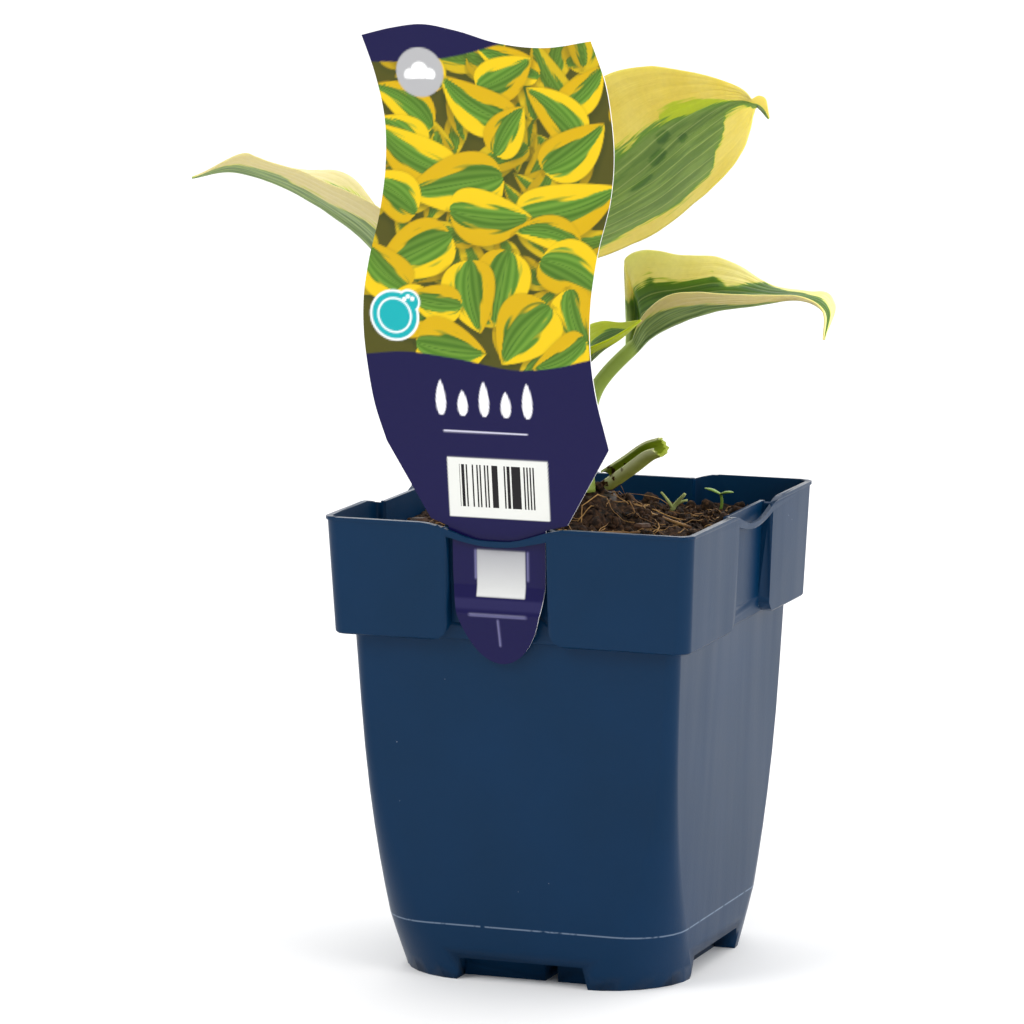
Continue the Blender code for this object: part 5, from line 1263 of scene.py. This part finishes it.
class LeafSettings(bpy.types.PropertyGroup):
    thickness: length_property("Thickness", "Thickness of a blade between its veins", 0.0006)
    vein_depth: length_property("Vein depth", "How deep the veins lie between the puckers", 0.00012)
    dark: colour_property("Dark", "Darker green of the hearts without bloom", "38600c")
    pale: colour_property("Pale", "Lighter green of the hearts without bloom", "4d7612")


class LabelSettings(bpy.types.PropertyGroup):
    thickness: length_property("Thickness", "Thickness of the card", 0.0005)
    ground: colour_property("Ground", "Colour of the card round its print", "110e40")


class StageSettings(bpy.types.PropertyGroup):
    floor_size: length_property("Floor size", "Side of the square floor", 40.0)
    key_power: bpy.props.FloatProperty(
        name="Key light", description="Power of the soft key light", default=15.0, unit="POWER", min=0.0
    )
    sky: bpy.props.FloatProperty(
        name="Sky", description="Brightness of the room in front", default=0.8, min=0.0
    )
    backdrop: bpy.props.FloatProperty(
        name="Backdrop", description="Brightness of the room behind", default=2.2, min=0.0
    )


class HostaSettings(bpy.types.PropertyGroup):
    pot: bpy.props.PointerProperty(type=PotSettings)
    medium: bpy.props.PointerProperty(type=MediumSettings)
    leaf: bpy.props.PointerProperty(type=LeafSettings)
    label: bpy.props.PointerProperty(type=LabelSettings)
    stage: bpy.props.PointerProperty(type=StageSettings)


# ---------------------------------------------------------------- operators


LENS = 210.94  # mm, on a sensor 36 mm wide
CAMERA_PLACE = (0.588237, -1.590051, 0.405008)
CAMERA_RIGHT = (0.93447361, 0.35601181, -0.00382924)
CAMERA_UP = (-0.05365369, 0.15144849, 0.98700792)
CAMERA_BACK = (0.35196641, -0.9221274, 0.16062596)
AWAY = (0.35, 0.93, 0.0)  # the level direction in which the room is brightest
LIT_POINT = (0, 0, 0.13)
# Name, place, size and share of the key light's power
LIGHTS = (("key", (-0.9, -1.3, 1.5), 0.9, 1.0), ("fill", (1.6, -0.5, 0.7), 1.0, 0.6))


class HOSTA_OT_stage(bpy.types.Operator):
    """Sets up the camera, the soft light and the plain pale floor"""

    bl_idname = "hosta.stage"
    bl_label = "Stage"

    def execute(self, context):
        settings = context.scene.hosta.stage
        data = bpy.data.cameras.new("camera")
        data.sensor_width = 36.0
        data.lens = LENS
        data.clip_start, data.clip_end = 0.05, 50.0
        camera = bpy.data.objects.new("camera", data)
        turn = Matrix((CAMERA_RIGHT, CAMERA_UP, CAMERA_BACK)).transposed().to_4x4()
        camera.matrix_world = Matrix.Translation(CAMERA_PLACE) @ turn
        context.scene.collection.objects.link(camera)
        context.scene.camera = camera

        world = bpy.data.worlds.new("studio")
        world.use_nodes = True
        tree = world.node_tree
        aim = add(tree, "ShaderNodeTexCoord").outputs["Generated"]
        toward = add(tree, "ShaderNodeVectorMath", {0: aim, 1: AWAY}, operation="DOT_PRODUCT")
        span = {"From Min": -0.2, "From Max": 0.9, "To Min": settings.sky, "To Max": settings.backdrop}
        glow = add(tree, RANGE, {"Value": toward.outputs["Value"], **span}).outputs[0]
        tree.links.new(glow, tree.nodes["Background"].inputs["Strength"])
        tree.nodes["Background"].inputs["Color"].default_value = (1.0, 1.0, 1.0, 1.0)
        context.scene.world = world
        context.scene.view_settings.view_transform = "Standard"

        for name, place, size, share in LIGHTS:
            light = bpy.data.lights.new(name, "AREA")
            light.shape = "SQUARE"
            light.size = size
            light.energy = share * settings.key_power
            lamp = bpy.data.objects.new(name, light)
            lamp.location = place
            lamp.rotation_mode = "QUATERNION"
            lamp.rotation_quaternion = (Vector(LIT_POINT) - Vector(place)).to_track_quat("-Z", "Y")
            context.scene.collection.objects.link(lamp)

        bpy.ops.object.select_all(action="DESELECT")
        bpy.ops.mesh.primitive_plane_add(size=settings.floor_size, location=(0, 0, 0))
        floor = context.active_object
        floor.name = "floor"
        mat, _, shader, _ = new_material("matt_pale_paper", 0.9)
        shader.inputs["Base Color"].default_value = rgba("f4f4f4")
        floor.data.materials.append(mat)
        return {"FINISHED"}


class HOSTA_OT_pot(bpy.types.Operator):
    """Finishes the moulded pot"""

    bl_idname = "hosta.pot"
    bl_label = "Pot"

    def execute(self, context):
        merged_copy("pot_moulding", "pot", pot_material(context.scene.hosta.pot))
        return {"FINISHED"}


class HOSTA_OT_medium(bpy.types.Operator):
    """Makes the growing medium with its clods, crumbs and fibres"""

    bl_idname = "hosta.medium"
    bl_label = "Growing medium"

    def execute(self, context):
        settings = context.scene.hosta.medium
        rng = np.random.default_rng(settings.seed)
        peat = medium_material()
        coir = straw_material()
        piece("medium_bed", *medium_mesh(), [peat], "medium", ["growing_medium"], sharp=180)
        crumbs = crumbs_mesh(rng, settings.crumbs, (0.35, 1.1), 1)
        piece("medium_crumbs", *crumbs, [peat], "medium", sharp=180)
        lumps = crumbs_mesh(rng, settings.lumps, (1.2, 2.6), 2)
        piece("medium_lumps", *lumps, [peat], "medium", sharp=180)
        piece("coir_fibres", *fibres_mesh(rng, settings.fibres), [coir], "straw", sharp=180)
        bark = straw_material("torn_bark", "2b1a10", "5a3a22")
        for name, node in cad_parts.items():
            if name.startswith("straw_"):
                node.data.materials.clear()
                node.data.materials.append(coir)
            if name.startswith("bark_chip_"):
                node.data.materials.clear()
                node.data.materials.append(bark)
        return {"FINISHED"}


class HOSTA_OT_leaves(bpy.types.Operator):
    """Makes the four leaves with their stalks"""

    bl_idname = "hosta.leaves"
    bl_label = "Leaves"

    def execute(self, context):
        settings = context.scene.hosta.leaf
        mat = leaf_material(settings)
        for name, leaf in LEAVES.items():
            points, faces, paint = leaf_mesh(leaf, settings)
            blade = name.replace("leaf_", "blade_")
            piece(blade, points, faces, [mat], "leaf", [name], sharp=180, paint=paint)
        return {"FINISHED"}


class HOSTA_OT_crown(bpy.types.Operator):
    """Finishes the crown and makes the cut stalk, the seedling and the moss sprig"""

    bl_idname = "hosta.crown"
    bl_label = "Crown and small growth"

    def execute(self, context):
        crown = straw_material("fleshy_crown", "1c130b", "3a2a18")
        merged_copy("crown_flesh", "crown_with_roots", crown, sharp=60)
        points, faces, paint = cut_stalk_mesh()
        flesh = cut_stalk_material()
        piece("cut_stalk", points, faces, [flesh], "cut_stalk", ["cut_leaf_stalk"], sharp=60, paint=paint)
        green = plant_material("seedling_tissue", "4f7424", "8aa848")
        merged_copy("seedling", "weed_seedling", green, sharp=60)
        pale = plant_material("moss_tissue", "7d8a48", "b0b878", 0.7)
        merged_copy("moss", "moss_sprig", pale, sharp=60)
        return {"FINISHED"}


class HOSTA_OT_label(bpy.types.Operator):
    """Makes the printed card label"""

    bl_idname = "hosta.label"
    bl_label = "Label"

    def execute(self, context):
        points, faces, slots, paint = label_mesh(context.scene.hosta.label)
        materials = [card_material(), card_edge_material()]
        piece("card_label", points, faces, materials, "label", ["plant_label"], 30, paint, slots)
        return {"FINISHED"}


STEPS = ("stage", "pot", "medium", "crown", "leaves", "label")


class HOSTA_PT_panel(bpy.types.Panel):
    """Lists the sizes and finishes of the potted hosta and the steps that build it"""

    bl_idname = "HOSTA_PT_panel"
    bl_label = "Potted hosta"
    bl_space_type = "VIEW_3D"
    bl_region_type = "UI"
    bl_category = "Hosta"

    def draw(self, context):
        settings = context.scene.hosta
        for group in (settings.pot, settings.medium, settings.leaf, settings.label, settings.stage):
            box = self.layout.box()
            for key in group.__annotations__:
                box.prop(group, key)
        for step in STEPS:
            self.layout.operator(f"hosta.{step}")


CLASSES = (
    PotSettings,
    MediumSettings,
    LeafSettings,
    LabelSettings,
    StageSettings,
    HostaSettings,
    HOSTA_OT_stage,
    HOSTA_OT_pot,
    HOSTA_OT_medium,
    HOSTA_OT_leaves,
    HOSTA_OT_crown,
    HOSTA_OT_label,
    HOSTA_PT_panel,
)


def register():
    for cls in CLASSES:
        bpy.utils.register_class(cls)
    bpy.types.Scene.hosta = bpy.props.PointerProperty(type=HostaSettings)


def unregister():
    del bpy.types.Scene.hosta
    for cls in reversed(CLASSES):
        bpy.utils.unregister_class(cls)


def main():
    register()
    for step in STEPS:
        getattr(bpy.ops.hosta, step)()


if __name__ == "__main__":
    main()
